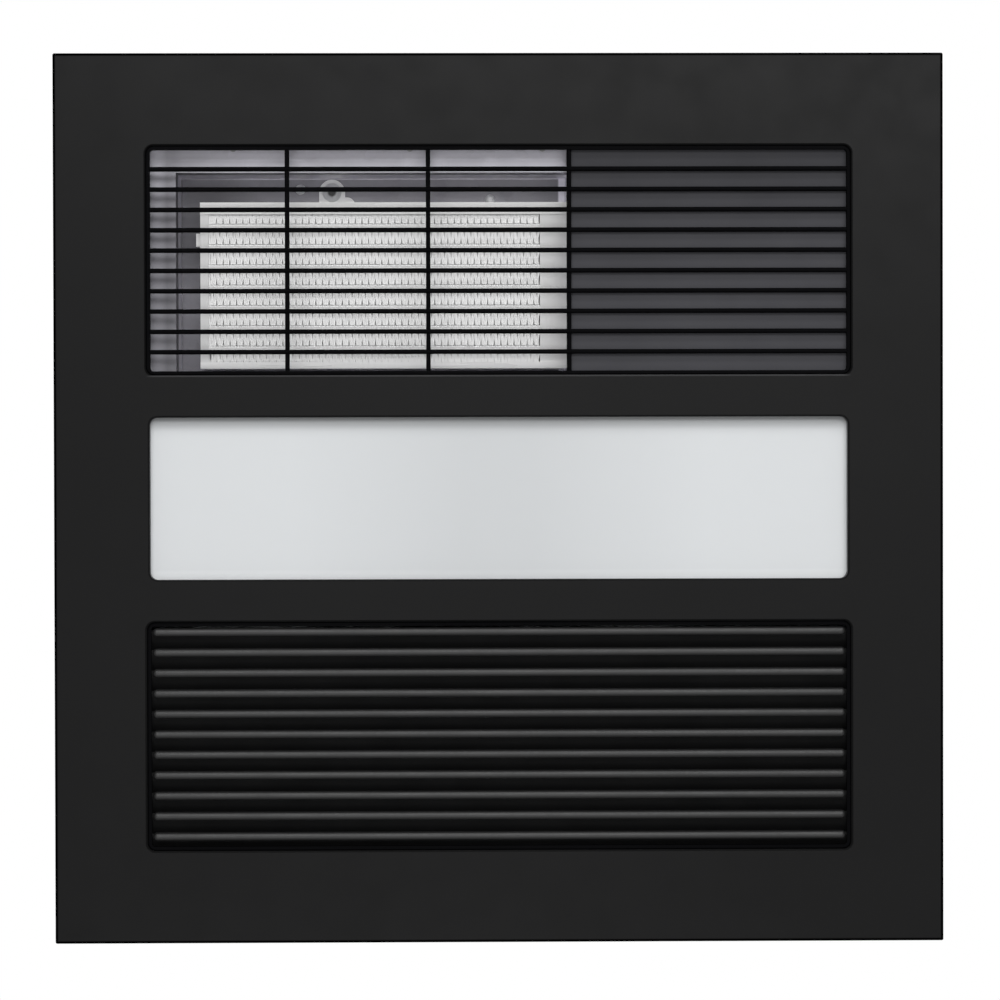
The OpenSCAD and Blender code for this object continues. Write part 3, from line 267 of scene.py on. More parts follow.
def colour_range(material, value, dark, light, start=0.3, end=0.7):
    ramp = add_node(material, "ShaderNodeValToRGB", {"Fac": value})
    ramp.color_ramp.elements[0].position = start
    ramp.color_ramp.elements[1].position = end
    ramp.color_ramp.elements[0].color = (*dark, 1)
    ramp.color_ramp.elements[1].color = (*light, 1)
    return ramp.outputs["Color"]


def set_socket(material, socket, value):
    shader = material.node_tree.nodes["Principled BSDF"]
    material.node_tree.links.new(value, shader.inputs[socket])


def add_bump(material, height, depth, strength):
    """Raises the surface by depth millimetres where the pattern is high."""
    bump = add_node(material, "ShaderNodeBump",
                    {"Height": height, "Distance": depth * MM, "Strength": strength})
    set_socket(material, "Normal", bump.outputs["Normal"])


def shade(colour, factor):
    """The colour made lighter or darker, up to white."""
    return tuple(min(1.0, channel * factor) for channel in colour)


def map_range(material, value, start, end, low, high, **settings):
    """Maps metres onto low to high, which may be sockets. Start and end are in millimetres."""
    return add_node(material, "ShaderNodeMapRange",
                    {"Value": value, "From Min": start * MM, "From Max": end * MM, "To Min": low,
                     "To Max": high}, **settings).outputs["Result"]


def calculate(material, operation, *values):
    return add_node(material, "ShaderNodeMath", dict(enumerate(values)),
                    operation=operation).outputs["Value"]


def product(material, a, b):
    return calculate(material, "MULTIPLY", a, b)


def scaled(material, colour, factor):
    return add_node(material, "ShaderNodeVectorMath", {0: colour, "Scale": factor},
                    operation="SCALE").outputs["Vector"]


def set_colour(material, skin, toned_by=None):
    """Links the base colour, multiplied by the tone where the finish has one."""
    if toned_by:
        skin = scaled(material, skin, toned_by(material))
    set_socket(material, "Base Color", skin)


def position(material):
    place = object_coordinates(material)
    return add_node(material, "ShaderNodeSeparateXYZ", {"Vector": place}).outputs


def distance_to(material, place):
    """Distance along the face from a place given in millimetres."""
    return add_node(material, "ShaderNodeVectorMath",
                    {0: object_coordinates(material, (1, 1, 0)), 1: Vector((*place, 0)) * MM},
                    operation="DISTANCE").outputs["Value"]


def edge_shadow(material):
    """Falls from 1 to 0 over the face's rounded outer edge, which turns away from the lamps."""
    place = position(material)
    half_x, half_y = (calculate(material, "ABSOLUTE", place[axis]) for axis in "XY")
    reach = calculate(material, "MAXIMUM", half_x, half_y)
    outline = map_range(material, reach, FACE_W / 2 - 1.5, FACE_W / 2 - 0.9, 1.0, 0.0)
    return map_range(material, place["Z"], FACE_Z + 1.0, FACE_Z + 1.3, outline, 1.0)


def painted_window_edge_light(material):
    """Painted light and shade on the face: a painted highlight on the bevel under the grille's
    window, and the painted shade of the outer edge.
    """
    place = position(material)
    start = -WINDOW_Y + WINDOW_H / 2
    end = start + WINDOW_BEVEL
    on_bevel = map_range(material, place["Y"], start, start + 0.15, 1.0, PAINTED_EDGE_HIGHLIGHT)
    on_bevel = map_range(material, place["Y"], end - 0.1, end + 0.05, on_bevel, 1.0)
    half = calculate(material, "ABSOLUTE", place["X"])
    inside = map_range(material, half, WINDOW_W / 2 - CORNER_R, WINDOW_W / 2, on_bevel, 1.0)
    return product(material, inside, edge_shadow(material))


def moulded(name, colour, roughness, specular=0.4, toned_by=None):
    """Injection moulded plastic: fine spark grain, slightly uneven tone and gloss."""
    material = new_finish(name, colour, roughness, specular=specular)
    tone = colour_range(material, noise(material, 9.0, 2.0), shade(colour, 0.9), shade(colour, 1.1))
    set_colour(material, tone, toned_by)
    set_socket(material, "Roughness",
               blend_range(material, noise(material, 60.0), roughness - 0.05, roughness + 0.06))
    add_bump(material, noise(material, 1400.0, 2.0), 0.02, 0.35)
    return material


def rim_tone(material, place):
    """Painted light and shade on the duct's rim: darker down the left side, lighter towards its
    outer edges.
    """
    left = map_range(material, place["Y"], -162, -132, 0.85, 0.42)
    rim = map_range(material, place["X"], -150, -122, left, 1.0)
    left_edge = map_range(material, place["X"], -157, -150, 1.9, 0.9)
    left_edge = map_range(material, place["X"], -147, -143, left_edge, 1.0)
    top_edge = map_range(material, place["Y"], -157.5, -152.5, 2.1, 0.8)
    top_edge = map_range(material, place["Y"], -151, -149, top_edge, 1.0)
    return product(material, rim, product(material, left_edge, top_edge))


def ledge_tone(material, place):
    """Painted shade and light on the duct's ledge: darkest round the element's corner, lighter
    along the wall and past the element's end.
    """
    far = map_range(material, place["Y"], -138, -122, 0.64, 0.52)
    ledge = map_range(material, distance_to(material, DARKEST_SHADE_CORNER), 14, 30, 0.29, far)
    strip = map_range(material, place["X"], -132, -112, 1.4, 3.1)
    ledge = map_range(material, place["Y"], -148.2, -146.8, strip, ledge)
    return map_range(material, place["X"], 28.0, 28.6, ledge, 2.4)


def painted_duct_shading(material):
    """Painted light and shade on the heater duct, from its rim up its walls, which are painted
    light, to its ledge.
    """
    place = position(material)
    tone = map_range(material, place["Z"], RIM_Z - 0.6, RIM_Z, rim_tone(material, place), 3.0)
    ledge = ledge_tone(material, place)
    return map_range(material, place["Z"], LEDGE_Z - 1.0, LEDGE_Z, tone, ledge)


def galvanised(name, colour, metallic, toned_by=None):
    """Hot dipped steel sheet with a soft spangle."""
    material = new_finish(name, colour, 0.38, metallic=metallic)
    spangle = add_node(material, "ShaderNodeTexVoronoi",
                       {"Vector": object_coordinates(material), "Scale": 210.0, "Randomness": 1.0},
                       feature="F1").outputs["Color"]
    cell = add_node(material, "ShaderNodeSeparateColor", {"Color": spangle}).outputs["Red"]
    mixed = calculate(material, "ADD", cell, noise(material, 16.0, 4.0))
    pattern = product(material, mixed, 0.5)
    skin = colour_range(material, pattern, shade(colour, 0.92), shade(colour, 1.08), 0.15, 0.85)
    set_colour(material, skin, toned_by)
    set_socket(material, "Roughness", blend_range(material, pattern, 0.36, 0.46))
    add_bump(material, noise(material, 700.0), 0.01, 0.3)
    return material


def painted_zinc_shade(material):
    """Painted shade on the zinc: dark in the screw's recess, and on the rivets that lie in the
    window's shade.
    """
    place = position(material)
    recess = map_range(material, distance_to(material, SCREW), 1.5, 2.3, 0.12, 1.0)
    shaded = map_range(material, place["Z"], 16, 17, 0.45, 1.0)
    rivets = map_range(material, place["Y"], -162, -161, 1.0, shaded)
    rivets = map_range(material, place["Y"], -153, -152, rivets, 1.0)
    return product(material, recess, rivets)


def plated(name, colour, roughness, metallic=1.0, toned_by=None):
    """Zinc, tin or brass on small turned and pressed pieces."""
    material = new_finish(name, colour, roughness, metallic=metallic)
    wear = noise(material, 220.0, 4.0)
    skin = colour_range(material, wear, shade(colour, 0.82), shade(colour, 1.08))
    set_colour(material, skin, toned_by)
    set_socket(material, "Roughness",
               blend_range(material, wear, roughness - 0.08, roughness + 0.14))
    add_bump(material, noise(material, 1800.0), 0.008, 0.4)
    return material


def rolled_aluminium(name, colour, metallic):
    """Bright strip with the long marks of the mill along X."""
    material = new_finish(name, colour, 0.3, metallic=metallic)
    marks = noise(material, 260.0, 4.0, stretch=(0.06, 1, 1))
    set_colour(material, colour_range(material, marks, shade(colour, 0.86), shade(colour, 1.08)))
    set_socket(material, "Roughness", blend_range(material, marks, 0.2, 0.42))
    add_bump(material, marks, 0.012, 0.4)
    return material


def window_shade(material):
    """Tone of the blanking plate: its upper part lies in the shade of the window."""
    return map_range(material, position(material)["Y"], -158, -120, 0.66, 1.0)


def painted(name, colour, roughness, specular=0.4, toned_by=None):
    """Stoved paint with a light orange peel."""
    material = new_finish(name, colour, roughness, specular=specular)
    tone = noise(material, 14.0, 3.0)
    skin = colour_range(material, tone, shade(colour, 0.9), shade(colour, 1.08))
    set_colour(material, skin, toned_by)
    set_socket(material, "Roughness",
               blend_range(material, noise(material, 90.0), roughness - 0.06, roughness + 0.06))
    add_bump(material, noise(material, 420.0, 2.0), 0.03, 0.35)
    return material


def opal(name, colour):
    """Frosted acrylic: light spreads a little inside it. Painted shade darkens its middle and its
    upper edge, and painted light lifts its lower edge.
    """
    material = new_finish(name, colour, 0.5, specular=0.35)
    shader = material.node_tree.nodes["Principled BSDF"]
    shader.inputs["Subsurface Weight"].default_value = 0.25
    shader.inputs["Subsurface Radius"].default_value = (0.004, 0.004, 0.004)
    shader.inputs["Subsurface Scale"].default_value = 1.0
    place = position(material)
    # Painted shade: darker towards the middle of the pane
    half = calculate(material, "ABSOLUTE", place["X"])
    span = map_range(material, half, 0, LIGHT_W / 2, 0.0, 1.0)
    tone = colour_range(material, span, shade(colour, 0.94), shade(colour, 1.06), 0.1, 0.6)
    # Painted shadow along the upper edge, painted light along the lower edge
    edges = map_range(material, place["Y"], -LIGHT_H / 2, -LIGHT_H / 2 + 6.5, 0.5, 1.0,
                      interpolation_type="SMOOTHSTEP")
    edges = map_range(material, place["Y"], LIGHT_H / 2 - 4.5, LIGHT_H / 2, edges, 1.25)
    set_colour(material, scaled(material, tone, edges))
    set_socket(material, "Roughness", blend_range(material, noise(material, 1600.0), 0.45, 0.55))
    add_bump(material, noise(material, 2600.0), 0.006, 0.3)
    return material


def foamed(name, colour, cells):
    """Closed cell foam or rubber: small open pits in a matt skin."""
    material = new_finish(name, colour, 0.9, specular=0.15)
    pits = add_node(material, "ShaderNodeTexVoronoi",
                    {"Vector": object_coordinates(material), "Scale": cells}).outputs["Distance"]
    set_colour(material, colour_range(material, pits, shade(colour, 0.6), shade(colour, 1.2)))
    set_socket(material, "Roughness", blend_range(material, noise(material, 200.0), 0.82, 0.96))
    add_bump(material, pits, 0.12, 0.6)
    return material


def layered(name, colour, light, pitch, roughness, metallic, depth):
    """Thin stacked layers or turns of wire along Z, with their pitch and depth in millimetres."""
    material = new_finish(name, colour, roughness, metallic=metallic)
    bands = add_node(material, "ShaderNodeTexWave",
                     {"Vector": object_coordinates(material), "Scale": math.pi / (10 * pitch * MM),
                      "Distortion": 0.6, "Detail": 1.0}, bands_direction="Z").outputs["Fac"]
    set_colour(material, colour_range(material, bands, colour, light))
    set_socket(material, "Roughness",
               blend_range(material, noise(material, 300.0), roughness - 0.08, roughness + 0.1))
    add_bump(material, bands, depth, 0.8)
    return material


def circuit(name, colour):
    """White solder mask with faint raised tracks."""
    material = new_finish(name, colour, 0.35, specular=0.5)
    tracks = add_node(material, "ShaderNodeTexBrick",
                      {"Vector": object_coordinates(material), "Scale": 60.0, "Mortar Size": 0.03,
                       "Color1": (1, 1, 1, 1), "Color2": (1, 1, 1, 1), "Mortar": (0, 0, 0, 1)}
                      ).outputs["Fac"]
    set_colour(material, colour_range(material, tracks, colour, shade(colour, 0.9)))
    set_socket(material, "Roughness", blend_range(material, noise(material, 150.0), 0.3, 0.42))
    add_bump(material, tracks, 0.05, 0.5)
    return material


finishes = {
    # The face's tone holds a painted highlight on the grille window's bevel and painted shade at
    # its outer edge
    "fascia_black": moulded("fascia_black", (0.0054, 0.0054, 0.0056), 0.35,
                            toned_by=painted_window_edge_light),
    # grille_black and louvre_black are one black plastic: the grille's copy is darker with almost
    # no gloss, painted shade, and the louvre's copy is lighter, painted light, with more gloss for
    # the slats' highlights
    "grille_black": moulded("grille_black", (0.0034, 0.0034, 0.0039), 0.6, specular=0.01),
    "louvre_black": moulded("louvre_black", (0.0105, 0.0105, 0.0108), 0.4, specular=0.45),
    "slate_plate": painted("slate_plate", (0.070, 0.070, 0.078), 0.5, 0.08, window_shade),
    "opal_acrylic": opal("opal_acrylic", (0.70, 0.72, 0.735)),
    "white_steel": painted("white_steel", (0.78, 0.78, 0.77), 0.42),
    "circuit_white": circuit("circuit_white", (0.76, 0.78, 0.76)),
    "led_yellow": moulded("led_yellow", (0.72, 0.56, 0.18), 0.4),
    # The zinc's tone holds painted shade in the screw's recess and on the shaded rivets
    "bright_zinc": plated("bright_zinc", (0.90, 0.91, 0.92), 0.36, ZINC_METALLIC, painted_zinc_shade),
    "galvanised": galvanised("galvanised", (0.50, 0.51, 0.53), 0.85),
    # The duct steel's tone holds painted light and shade on the rim, walls and ledge
    "duct_steel": galvanised("duct_steel", (0.32, 0.314, 0.346), 0.7, painted_duct_shading),
    "spring_steel": plated("spring_steel", (0.34, 0.34, 0.36), 0.35),
    "bright_aluminium": rolled_aluminium("bright_aluminium", (1.0, 1.0, 1.0), 0.1),
    "end_cap_grey": moulded("end_cap_grey", (0.97, 0.97, 0.97), 0.4),
    "tin_brass": plated("tin_brass", (0.66, 0.51, 0.25), 0.28),
    "bakelite": moulded("bakelite", (0.035, 0.028, 0.024), 0.3, specular=0.5),
    "ivory_plastic": moulded("ivory_plastic", (0.66, 0.64, 0.57), 0.45),
    "duct_plastic": moulded("duct_plastic", (0.055, 0.058, 0.064), 0.5),
    "foam": foamed("foam", (0.035, 0.035, 0.038), 1300.0),
    "grommet_rubber": foamed("grommet_rubber", (0.02, 0.02, 0.021), 2600.0),
    "motor_paint": painted("motor_paint", (0.035, 0.037, 0.041), 0.4),
    "laminations": layered("laminations", (0.13, 0.13, 0.135), (0.24, 0.24, 0.25),
                           pitch=0.5, roughness=0.5, metallic=0.8, depth=0.05),
    "copper_wire": layered("copper_wire", (0.22, 0.07, 0.02), (0.62, 0.27, 0.11),
                           pitch=0.7, roughness=0.35, metallic=0.9, depth=0.2),
    "box_plastic": moulded("box_plastic", (0.27, 0.28, 0.29), 0.5),
}

# Painted shade: the face's gloss is taken off at its outer edge so that edge renders dark, and the
# element's screw shows as plain bright zinc
fascia = finishes["fascia_black"]
set_socket(fascia, "Specular IOR Level", product(fascia, edge_shadow(fascia), FASCIA_SHEEN))
zinc = finishes["bright_zinc"]
set_socket(zinc, "Metallic", map_range(zinc, distance_to(zinc, SCREW), 5, 7, 0.0, ZINC_METALLIC))

slot_of = {part["node"]: part["material_slot"] for part in frame["record"]["subparts"]}
for node_name, cad_piece in frame["nodes"].items():
    cad_piece.data.materials.clear()
    cad_piece.data.materials.append(finishes[slot_of[node_name]])


# Frame of a grille in its window, with a lip behind the face
LIP_W = 4.0
LIP_FRONT = -11.5
LIP_BACK = -9.9


def window_frame(name, centre_y, border, front):
    """Moulded border with a lip behind the face, hollow in the middle."""
    w = WINDOW_W / 2 - FIT_GAP
    h = WINDOW_H / 2 - FIT_GAP
    ring = rounded_block(name, (-w, centre_y - h, front), (w, centre_y + h, LIP_BACK),
                         CORNER_R, 0.35)
    lip = rounded_block("lip", (-w - LIP_W, centre_y - h - LIP_W, LIP_FRONT),
                        (w + LIP_W, centre_y + h + LIP_W, LIP_BACK), CORNER_R)
    combine(ring, lip, "UNION")
    opening = rounded_block("opening", (-w + border, centre_y - h + border, front - 3),
                            (w - border, centre_y + h - border, LIP_BACK + 3), 1.5)
    return combine(ring, opening, "DIFFERENCE")


# Heater grille: round fronted bars along X, crossed by three ribs set a little further back
SLOTS = 11
BAR_W = 2.0
BAR_D = 3.8
RIB_SETBACK = 0.6
GRILLE_BORDER = 1.5
GRILLE_FRONT = FACE_Z + 0.3


def grille_bar(name, start, end):
    """A bar whose front edge is rounded over and whose back edge is eased."""
    bar = add_block(name, start, end)
    axis = 0 if end[0] - start[0] > end[1] - start[1] else 1
    for z, radius, segments in ((start[2], BAR_W * 0.47, 4), (end[2], 0.25, 2)):
        round_edges(bar, lambda middle, along: abs(along[axis]) > 0.99 and abs(middle.z - z) < 0.01,
                    radius, segments)
    return bar


def make_heater_grille():
    border = window_frame("heater_grille_frame", -WINDOW_Y, GRILLE_BORDER, GRILLE_FRONT)
    half_w = (WINDOW_W - BAR_W) / 2 - FIT_GAP
    half_h = (WINDOW_H - BAR_W) / 2 - FIT_GAP
    rib_front = GRILLE_FRONT + RIB_SETBACK
    back = GRILLE_FRONT + BAR_D
    bars = []
    for i in range(1, SLOTS):
        y = -WINDOW_Y - half_h + i * 2 * half_h / SLOTS
        bars.append(grille_bar("bar", (-half_w, y - BAR_W / 2, GRILLE_FRONT),
                               (half_w, y + BAR_W / 2, back)))
    for i in (1, 2, 3):
        x = -WINDOW_W / 2 + i * WINDOW_W / 5
        bars.append(grille_bar("rib", (x - BAR_W / 2, -WINDOW_Y - half_h, rib_front),
                               (x + BAR_W / 2, -WINDOW_Y + half_h, back)))
    grille = join([border, *bars], "heater_grille_bars")
    finish_piece(grille, "fascia", "grille_black", "heater_grille")


# Intake louvre: slats with a rolled nose and a web that leans in behind the next slat, and two
# ribs at their back
SLATS = 11
SLAT_MARGIN = 1.2
SLAT_PITCH = (WINDOW_H - 2 * FIT_GAP - SLAT_MARGIN) / SLATS
SLAT_OVERLAP = 2.2
SLAT_RUN = SLAT_PITCH + SLAT_OVERLAP
SLAT_NOSE_R = 2.0
SLAT_T = 1.5
SLAT_LEAN = math.radians(38)
FIRST_SLAT_GAP = 2.66
SLAT_END_GAP = 2.5
LOUVRE_RIB_W = 1.6
LOUVRE_RIB_D = 1.8
LOUVRE_BORDER = 1.6
LOUVRE_FRONT = FACE_Z + 0.4


def louvre_slat(half_w):
    """The first slat: a round nose with rounded ends, and a web that rises behind it."""
    nose_end = WINDOW_W / 2 - SLAT_END_GAP
    y = WINDOW_Y - WINDOW_H / 2 + FIRST_SLAT_GAP + SLAT_NOSE_R
    z = LOUVRE_FRONT + SLAT_NOSE_R
    slat = add_rod("slat", (-nose_end, y, z), (nose_end, y, z), SLAT_NOSE_R, 40)
    round_edges(slat, lambda middle, along: abs(middle.x) > nose_end - 0.01, 1.8, 6)
    length = SLAT_RUN / math.cos(SLAT_LEAN) - SLAT_NOSE_R
    web = add_block("web", (-half_w, 0, SLAT_NOSE_R - SLAT_T), (half_w, length, SLAT_NOSE_R))
    round_edges(web, lambda middle, along: abs(along.x) > 0.99 and middle.y > length - 0.01,
                SLAT_T * 0.45, 4)
    to_nose = Matrix.Translation(Vector((0, y, z)) * MM)
    web.data.transform(to_nose @ Matrix.Rotation(SLAT_LEAN, 4, "X"))
    return combine(slat, web, "UNION")


def make_intake_louvre():
    border = window_frame("intake_louvre_frame", WINDOW_Y, LOUVRE_BORDER, LOUVRE_FRONT + 1)
    half_w = (WINDOW_W - LOUVRE_BORDER) / 2 - FIT_GAP
    half_h = (WINDOW_H - LOUVRE_BORDER) / 2 - FIT_GAP
    slat = louvre_slat(half_w)
    slats = [copy_of(slat, "slat_copy", (0, i * SLAT_PITCH, 0)) for i in range(SLATS)]
    bpy.data.objects.remove(slat)
    limit = add_block("limit", (-200, WINDOW_Y - half_h, -30), (200, WINDOW_Y + half_h, 20))
    combine(slats[-1], limit, "INTERSECT")
    back = LOUVRE_FRONT + SLAT_NOSE_R + SLAT_RUN * math.tan(SLAT_LEAN)
    low = (-LOUVRE_RIB_W / 2, WINDOW_Y - WINDOW_H / 2 + 2.5, back - LOUVRE_RIB_D)
    high = (LOUVRE_RIB_W / 2, WINDOW_Y + WINDOW_H / 2 - 1, back)
    ribs = [add_block("louvre_rib", (x + low[0], *low[1:]), (x + high[0], *high[1:]))
            for x in (-WINDOW_W / 6, WINDOW_W / 6)]
    # The louvre's border takes the grille's darker copy of the black plastic, painted shade
    finish_piece(border, "fascia", "grille_black")
    louvre = join([*slats, *ribs], "intake_louvre_slats")
    finish_piece(louvre, "fascia", "louvre_black", "intake_louvre")


# Light diffuser: a flat pane held behind the face
PANE_Z = LIP_FRONT + 3
PANE_T = 2.0


def make_light_diffuser():
    w = LIGHT_W / 2 - FIT_GAP + LIP_W
    h = LIGHT_H / 2 - FIT_GAP + LIP_W
    pane = rounded_block("light_diffuser_pane", (-w, -h, PANE_Z), (w, h, PANE_Z + PANE_T), CORNER_R,
                         0.4, 8)
    finish_piece(pane, "fascia", "opal_acrylic", "light_diffuser")


# Heating element: folded fin strips between flat tubes
FIN_ROWS = 8
ROW_PITCH = 9.29
FOLD_PITCH = 3.03
TUBE_T = 3.2
HEM_T = 1.0
STRIP_T = 0.35
FIN_END_GAP = 0.05
# Each layer of folds from the front: thickness, start and end in depth, shift in quarter folds
FOLD_LAYERS = ((HEM_T, 0, 0.7, 0), (HEM_T, 0.7, 1.4, 1), (STRIP_T, 1.4, 3.0, 0),
               (HEM_T, 3.0, 3.7, 2), (STRIP_T, 3.7, 10.8, 1), (STRIP_T, 10.8, 17.9, 2))


def folded_sheet(name, columns, height, low_z, high_z, shift):
    """A strip folded up and down along X, four columns to a fold, from x = shift and y = 0."""
    deselect_all()
    bpy.ops.mesh.primitive_grid_add(x_subdivisions=columns, y_subdivisions=1, size=1)
    sheet = bpy.context.object
    sheet.scale = (columns * FOLD_PITCH / 4 * MM, (high_z - low_z) * MM, 1)
    sheet.rotation_euler = (math.radians(-90), 0, 0)
    sheet.location = Vector((columns * FOLD_PITCH / 8, 0, (low_z + high_z) / 2)) * MM
    settle(sheet, name)
    make_active(sheet)
    bpy.ops.object.mode_set(mode="EDIT")
    bpy.ops.mesh.select_mode(type="VERT")
    bpy.ops.mesh.select_all(action="DESELECT")
    bpy.ops.object.mode_set(mode="OBJECT")
    for vertex in sheet.data.vertices:
        vertex.select = round(vertex.co.x / MM / (FOLD_PITCH / 4)) % 4 in (1, 2)
    bpy.ops.object.mode_set(mode="EDIT")
    bpy.ops.transform.translate(value=(0, height * MM, 0))
    bpy.ops.object.mode_set(mode="OBJECT")
    sheet.data.transform(Matrix.Translation((shift * MM, 0, 0)))
    return sheet


def make_fins():
    """Rows of folded strips, stretched so that whole quarter folds fill the element's width."""
    low, high = (Vector(corner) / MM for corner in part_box("ptc_fins"))
    low.x, high.x = (corner[0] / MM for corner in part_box("ptc_tubes"))
    height = ROW_PITCH - TUBE_T
    quarter = FOLD_PITCH / 4
    columns = round((high.x - low.x) / FOLD_PITCH * 2) * 2 - 1
    parts = []
    for thickness, start, end, shift in FOLD_LAYERS:
        strip = folded_sheet("strip", columns - shift, height - thickness,
                             low.z + start, low.z + end, shift * quarter)
        parts.append(apply_modifier(strip, "SOLIDIFY", thickness=thickness * MM, offset=0.0))
    first_leg = add_block("leg", (-HEM_T / 2, -HEM_T / 2, low.z),
                          (0.5, height - HEM_T / 2, low.z + FOLD_LAYERS[-1][2]))
    parts.append(round_edges(first_leg, upright, 0.2, 2))
    row = join(parts, "row")
    stretch = (high.x - low.x - 2 * FIN_END_GAP) / (columns * quarter + HEM_T)
    row.data.transform(Matrix.Diagonal((stretch, 1, 1, 1)))
    corner = Vector((low.x + FIN_END_GAP + HEM_T / 2 * stretch, low.y + HEM_T / 2, 0))
    row.data.transform(Matrix.Translation(corner * MM))
    rows = [copy_of(row, "row_copy", (0, i * ROW_PITCH, 0)) for i in range(FIN_ROWS)]
    bpy.data.objects.remove(row)
    fins = join(rows, "ptc_folded_fins")
    finish_piece(fins, "housing", "bright_aluminium", "ptc_fins", degrees=25)


def make_tubes():
    """Flat heating tubes: an extrusion with eased corners and a shallow channel along its front."""
    low, high = (Vector(corner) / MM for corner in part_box("ptc_tubes"))
    tube = add_block("tube", low, (high.x, low.y + TUBE_T, high.z))
    round_edges(tube, lambda middle, along: abs(along.x) > 0.99, 0.5, 3)
    channel = add_block("channel", (low.x - 1, low.y + 1.0, low.z - 1),
                        (high.x + 1, low.y + 1.6, low.z + 0.5))
    combine(tube, channel, "DIFFERENCE")
    tubes = [copy_of(tube, "tube_copy", (0, i * ROW_PITCH, 0)) for i in range(FIN_ROWS - 1)]
    bpy.data.objects.remove(tube)
    finish_piece(join(tubes, "ptc_flat_tubes"), "housing", "bright_aluminium", "ptc_tubes")


def make_lug_foot():
    """The flare at the root of the screwed lug, rounded towards the ledge."""
    foot = add_block("lug_foot", (-71, -138.8, 34.9), (-65.7, -134.8, 35.9))
    round_edges(foot, lambda middle, along: (
        upright(middle, along) and middle.x > -67 and middle.y < -137), 3.8, 6)
    finish_piece(foot, "housing", slot_of["ptc_frame"])


# Duct collar: flange, tube, shutter seat with its centre bar, and the holes of the leaves' pins
DUCT_X = -59.0
DUCT_Z = 95.0
COLLAR_Y = -165.0
COLLAR_R = 49.0
COLLAR_BORE = 47.0
COLLAR_END = 39.98
FLANGE_R = 56.4
FLANGE_T = 2.0
SEAT_START = 12.0
SEAT_END = 13.0
SEAT_W = 2.5
SEAT_BAR_W = 13.0
PIN_X = 4.0
PIN_DEPTH = 16.3
PIN_REACH = 48.4
PIN_HOLE_R = 1.5


def duct_rod(name, start, end, radius):
    """A round solid on the duct's axis between two distances from the housing's wall."""
    return add_rod(name, (DUCT_X, COLLAR_Y - start, DUCT_Z), (DUCT_X, COLLAR_Y - end, DUCT_Z),
                   radius, 128)


def make_duct_collar():
    flange = duct_rod("flange", 0, FLANGE_T, FLANGE_R)
    round_edges(flange, lambda middle, along: middle.y < COLLAR_Y - FLANGE_T + 0.1, 0.6, 3)
    collar = duct_rod("duct_collar", 0.5, COLLAR_END, COLLAR_R)
    round_edges(collar, lambda middle, along: middle.y < COLLAR_Y - COLLAR_END + 0.08, 0.8, 3)
    combine(collar, flange, "UNION")
    combine(collar, duct_rod("inlet", -1, SEAT_START, COLLAR_BORE), "DIFFERENCE")
    combine(collar, duct_rod("outlet", SEAT_END, COLLAR_END + 1.02, COLLAR_BORE), "DIFFERENCE")
    seat_opening = duct_rod("seat_opening", SEAT_START - 1, SEAT_END + 1, COLLAR_BORE - SEAT_W)
    bar = add_block("bar", (DUCT_X - SEAT_BAR_W / 2, COLLAR_Y - SEAT_END, DUCT_Z - 60),
                    (DUCT_X + SEAT_BAR_W / 2, COLLAR_Y - SEAT_START, DUCT_Z + 60))
    combine(seat_opening, bar, "DIFFERENCE")
    combine(collar, seat_opening, "DIFFERENCE")
    for x in (DUCT_X - PIN_X, DUCT_X + PIN_X):
        pin_hole = add_rod("pin_hole", (x, COLLAR_Y - PIN_DEPTH, DUCT_Z - PIN_REACH),
                           (x, COLLAR_Y - PIN_DEPTH, DUCT_Z + PIN_REACH), PIN_HOLE_R, 24)
        combine(collar, pin_hole, "DIFFERENCE")
    finish_piece(collar, "housing", slot_of["duct_spigot"], "duct_spigot", degrees=40)


# CAD shapes that only need eased edges

def eased_copy(node, body, name, edge):
    """A copy of a node's solid, merged, with its sharp edges rounded, shown in the node's place."""
    source = frame["nodes"][node]
    piece = source.copy()
    piece.data = source.data.copy()
    for key in list(piece.keys()):
        del piece[key]
    piece.parent = None
    piece.name = name
    bpy.context.scene.collection.objects.link(piece)
    make_active(piece)
    if piece.data.has_custom_normals:
        bpy.ops.mesh.customdata_custom_splitnormals_clear()
    bpy.ops.object.mode_set(mode="EDIT")
    bpy.ops.mesh.select_all(action="SELECT")
    bpy.ops.mesh.remove_doubles(threshold=0.002 * MM)
    bpy.ops.mesh.dissolve_limited(angle_limit=math.radians(1))
    bpy.ops.object.mode_set(mode="OBJECT")
    apply_modifier(piece, "BEVEL", width=edge * MM, segments=3, limit_method="ANGLE",
                   angle_limit=math.radians(30), harden_normals=False)
    finish_piece(piece, body, slot_of[node], node, degrees=50)


make_heater_grille()
make_intake_louvre()
make_light_diffuser()
make_fins()
make_tubes()
make_lug_foot()
make_duct_collar()
for node, body, name, edge in (
        ("fascia_frame", "fascia", "fascia_moulding", 0.25),
        ("housing_shell", "housing", "housing_pressing", 0.3),
        ("terminal_box", "housing", "terminal_box_moulding", 0.4),
        ("terminal_cover", "housing", "terminal_lid", 0.4),
        ("motor_cover", "housing", "motor_can", 0.4),
        ("cable_gland", "housing", "gland", 0.4)):
    eased_copy(node, body, name, edge)


# Camera, found from the photographed corners of the face: place in metres, turn in degrees
CAMERA_PLACE = (-0.0206, -0.01738, -1.614)
CAMERA_TURN = (179.349, 0.751, 0.132)
CAMERA_LENS = 128.12


def place_camera():
    data = bpy.data.cameras.new("camera")
    data.sensor_width = 36
    data.lens = CAMERA_LENS
    data.clip_start = 0.05
    data.clip_end = 50
    camera = bpy.data.objects.new("camera", data)
    bpy.context.scene.collection.objects.link(camera)
    camera.location = CAMERA_PLACE
    camera.rotation_euler = [math.radians(turn) for turn in CAMERA_TURN]
    bpy.context.scene.camera = camera


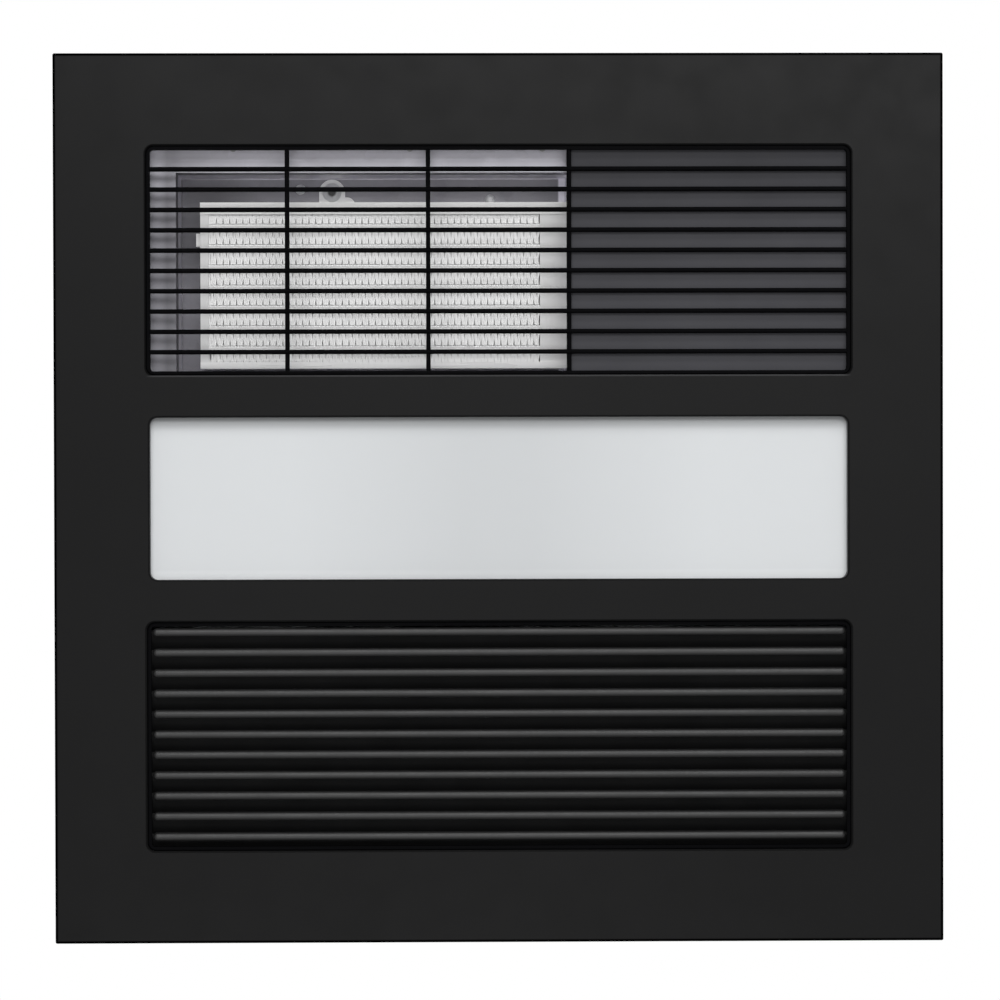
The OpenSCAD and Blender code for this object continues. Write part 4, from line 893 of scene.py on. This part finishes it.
# Lamps below the face and above the housing, and an even white studio round them
FACE_AIM = (0, 0, FACE_Z * MM)
TOP_AIM = (0, 0, 0.08)
STUDIO_LIGHT = 0.22
EXTRA_LIGHT = (("Is Camera Ray", 0.78), ("Is Transmission Ray", 0.78), ("Is Glossy Ray", 0.28))


def add_lamp(name, place, aim, size, power):
    data = bpy.data.lights.new(name, "AREA")
    data.shape = "RECTANGLE"
    data.size, data.size_y = size
    data.energy = power
    lamp = bpy.data.objects.new(name, data)
    bpy.context.scene.collection.objects.link(lamp)
    lamp.location = place
    lamp.rotation_euler = (Vector(place) - Vector(aim)).to_track_quat("Z", "Y").to_euler()


def light_the_room():
    add_lamp("face_key", (0.2, -1.5, -1.2), FACE_AIM, (1.4, 0.6), 12)
    add_lamp("face_sheen", (0.08, -0.55, -1.5), FACE_AIM, (1.4, 0.3), 9)
    add_lamp("face_front", (0.05, 0.05, -1.95), FACE_AIM, (1.3, 1.3), 6)
    add_lamp("face_fill", (-0.1, 0.8, -1.5), FACE_AIM, (1.2, 0.6), 3.5)
    add_lamp("top_key", (-1.2, -1.3, 1.7), TOP_AIM, (2.0, 2.0), 42)
    add_lamp("top_fill", (1.5, 0.9, 1.2), TOP_AIM, (2.0, 2.0), 22)


def make_world():
    world = bpy.data.worlds.new("studio")
    bpy.context.scene.world = world
    world.use_nodes = True
    tree = world.node_tree
    paths = tree.nodes.new("ShaderNodeLightPath")
    background = tree.nodes["Background"]
    background.inputs["Color"].default_value = (1, 1, 1, 1)
    strength = background.inputs["Strength"]
    for ray, extra in EXTRA_LIGHT:
        more = tree.nodes.new("ShaderNodeMath")
        more.operation = "MULTIPLY_ADD"
        more.inputs[1].default_value = extra
        more.inputs[2].default_value = STUDIO_LIGHT
        tree.links.new(paths.outputs[ray], more.inputs[0])
        tree.links.new(more.outputs["Value"], strength)
        strength = more.inputs[2]


# Floor, in millimetres: just under the lowered fascia, and faded into the white studio far out
FLOOR_GAP = 30.4
FADE_START = 350
FADE_END = 1500


def make_floor():
    """A pale floor that only shows from above."""
    deselect_all()
    bpy.ops.mesh.primitive_plane_add(size=4, location=(0, 0, cad_box[0][2] - FLOOR_GAP * MM))
    floor = settle(bpy.context.object, "floor")
    material = new_finish("floor_paint", (0.86, 0.86, 0.86), 0.9, specular=0.0)
    tree = material.node_tree
    clear = tree.nodes.new("ShaderNodeBsdfTransparent")
    mix = tree.nodes.new("ShaderNodeMixShader")
    geometry = tree.nodes.new("ShaderNodeNewGeometry")
    paths = tree.nodes.new("ShaderNodeLightPath")
    above = calculate(material, "SUBTRACT", 1.0, geometry.outputs["Backfacing"])
    seen = product(material, above, paths.outputs["Is Camera Ray"])
    reach = add_node(material, "ShaderNodeVectorMath", {0: object_coordinates(material)},
                     operation="LENGTH").outputs["Value"]
    near = map_range(material, reach, FADE_START, FADE_END, 1.0, 0.0,
                     interpolation_type="SMOOTHSTEP")
    tree.links.new(product(material, seen, near), mix.inputs["Fac"])
    tree.links.new(clear.outputs["BSDF"], mix.inputs[1])
    tree.links.new(tree.nodes["Principled BSDF"].outputs["BSDF"], mix.inputs[2])
    tree.links.new(mix.outputs["Shader"], tree.nodes["Material Output"].inputs["Surface"])
    floor.data.materials.append(material)


place_camera()
light_the_room()
make_world()
make_floor()
bpy.context.scene.view_settings.view_transform = "Standard"
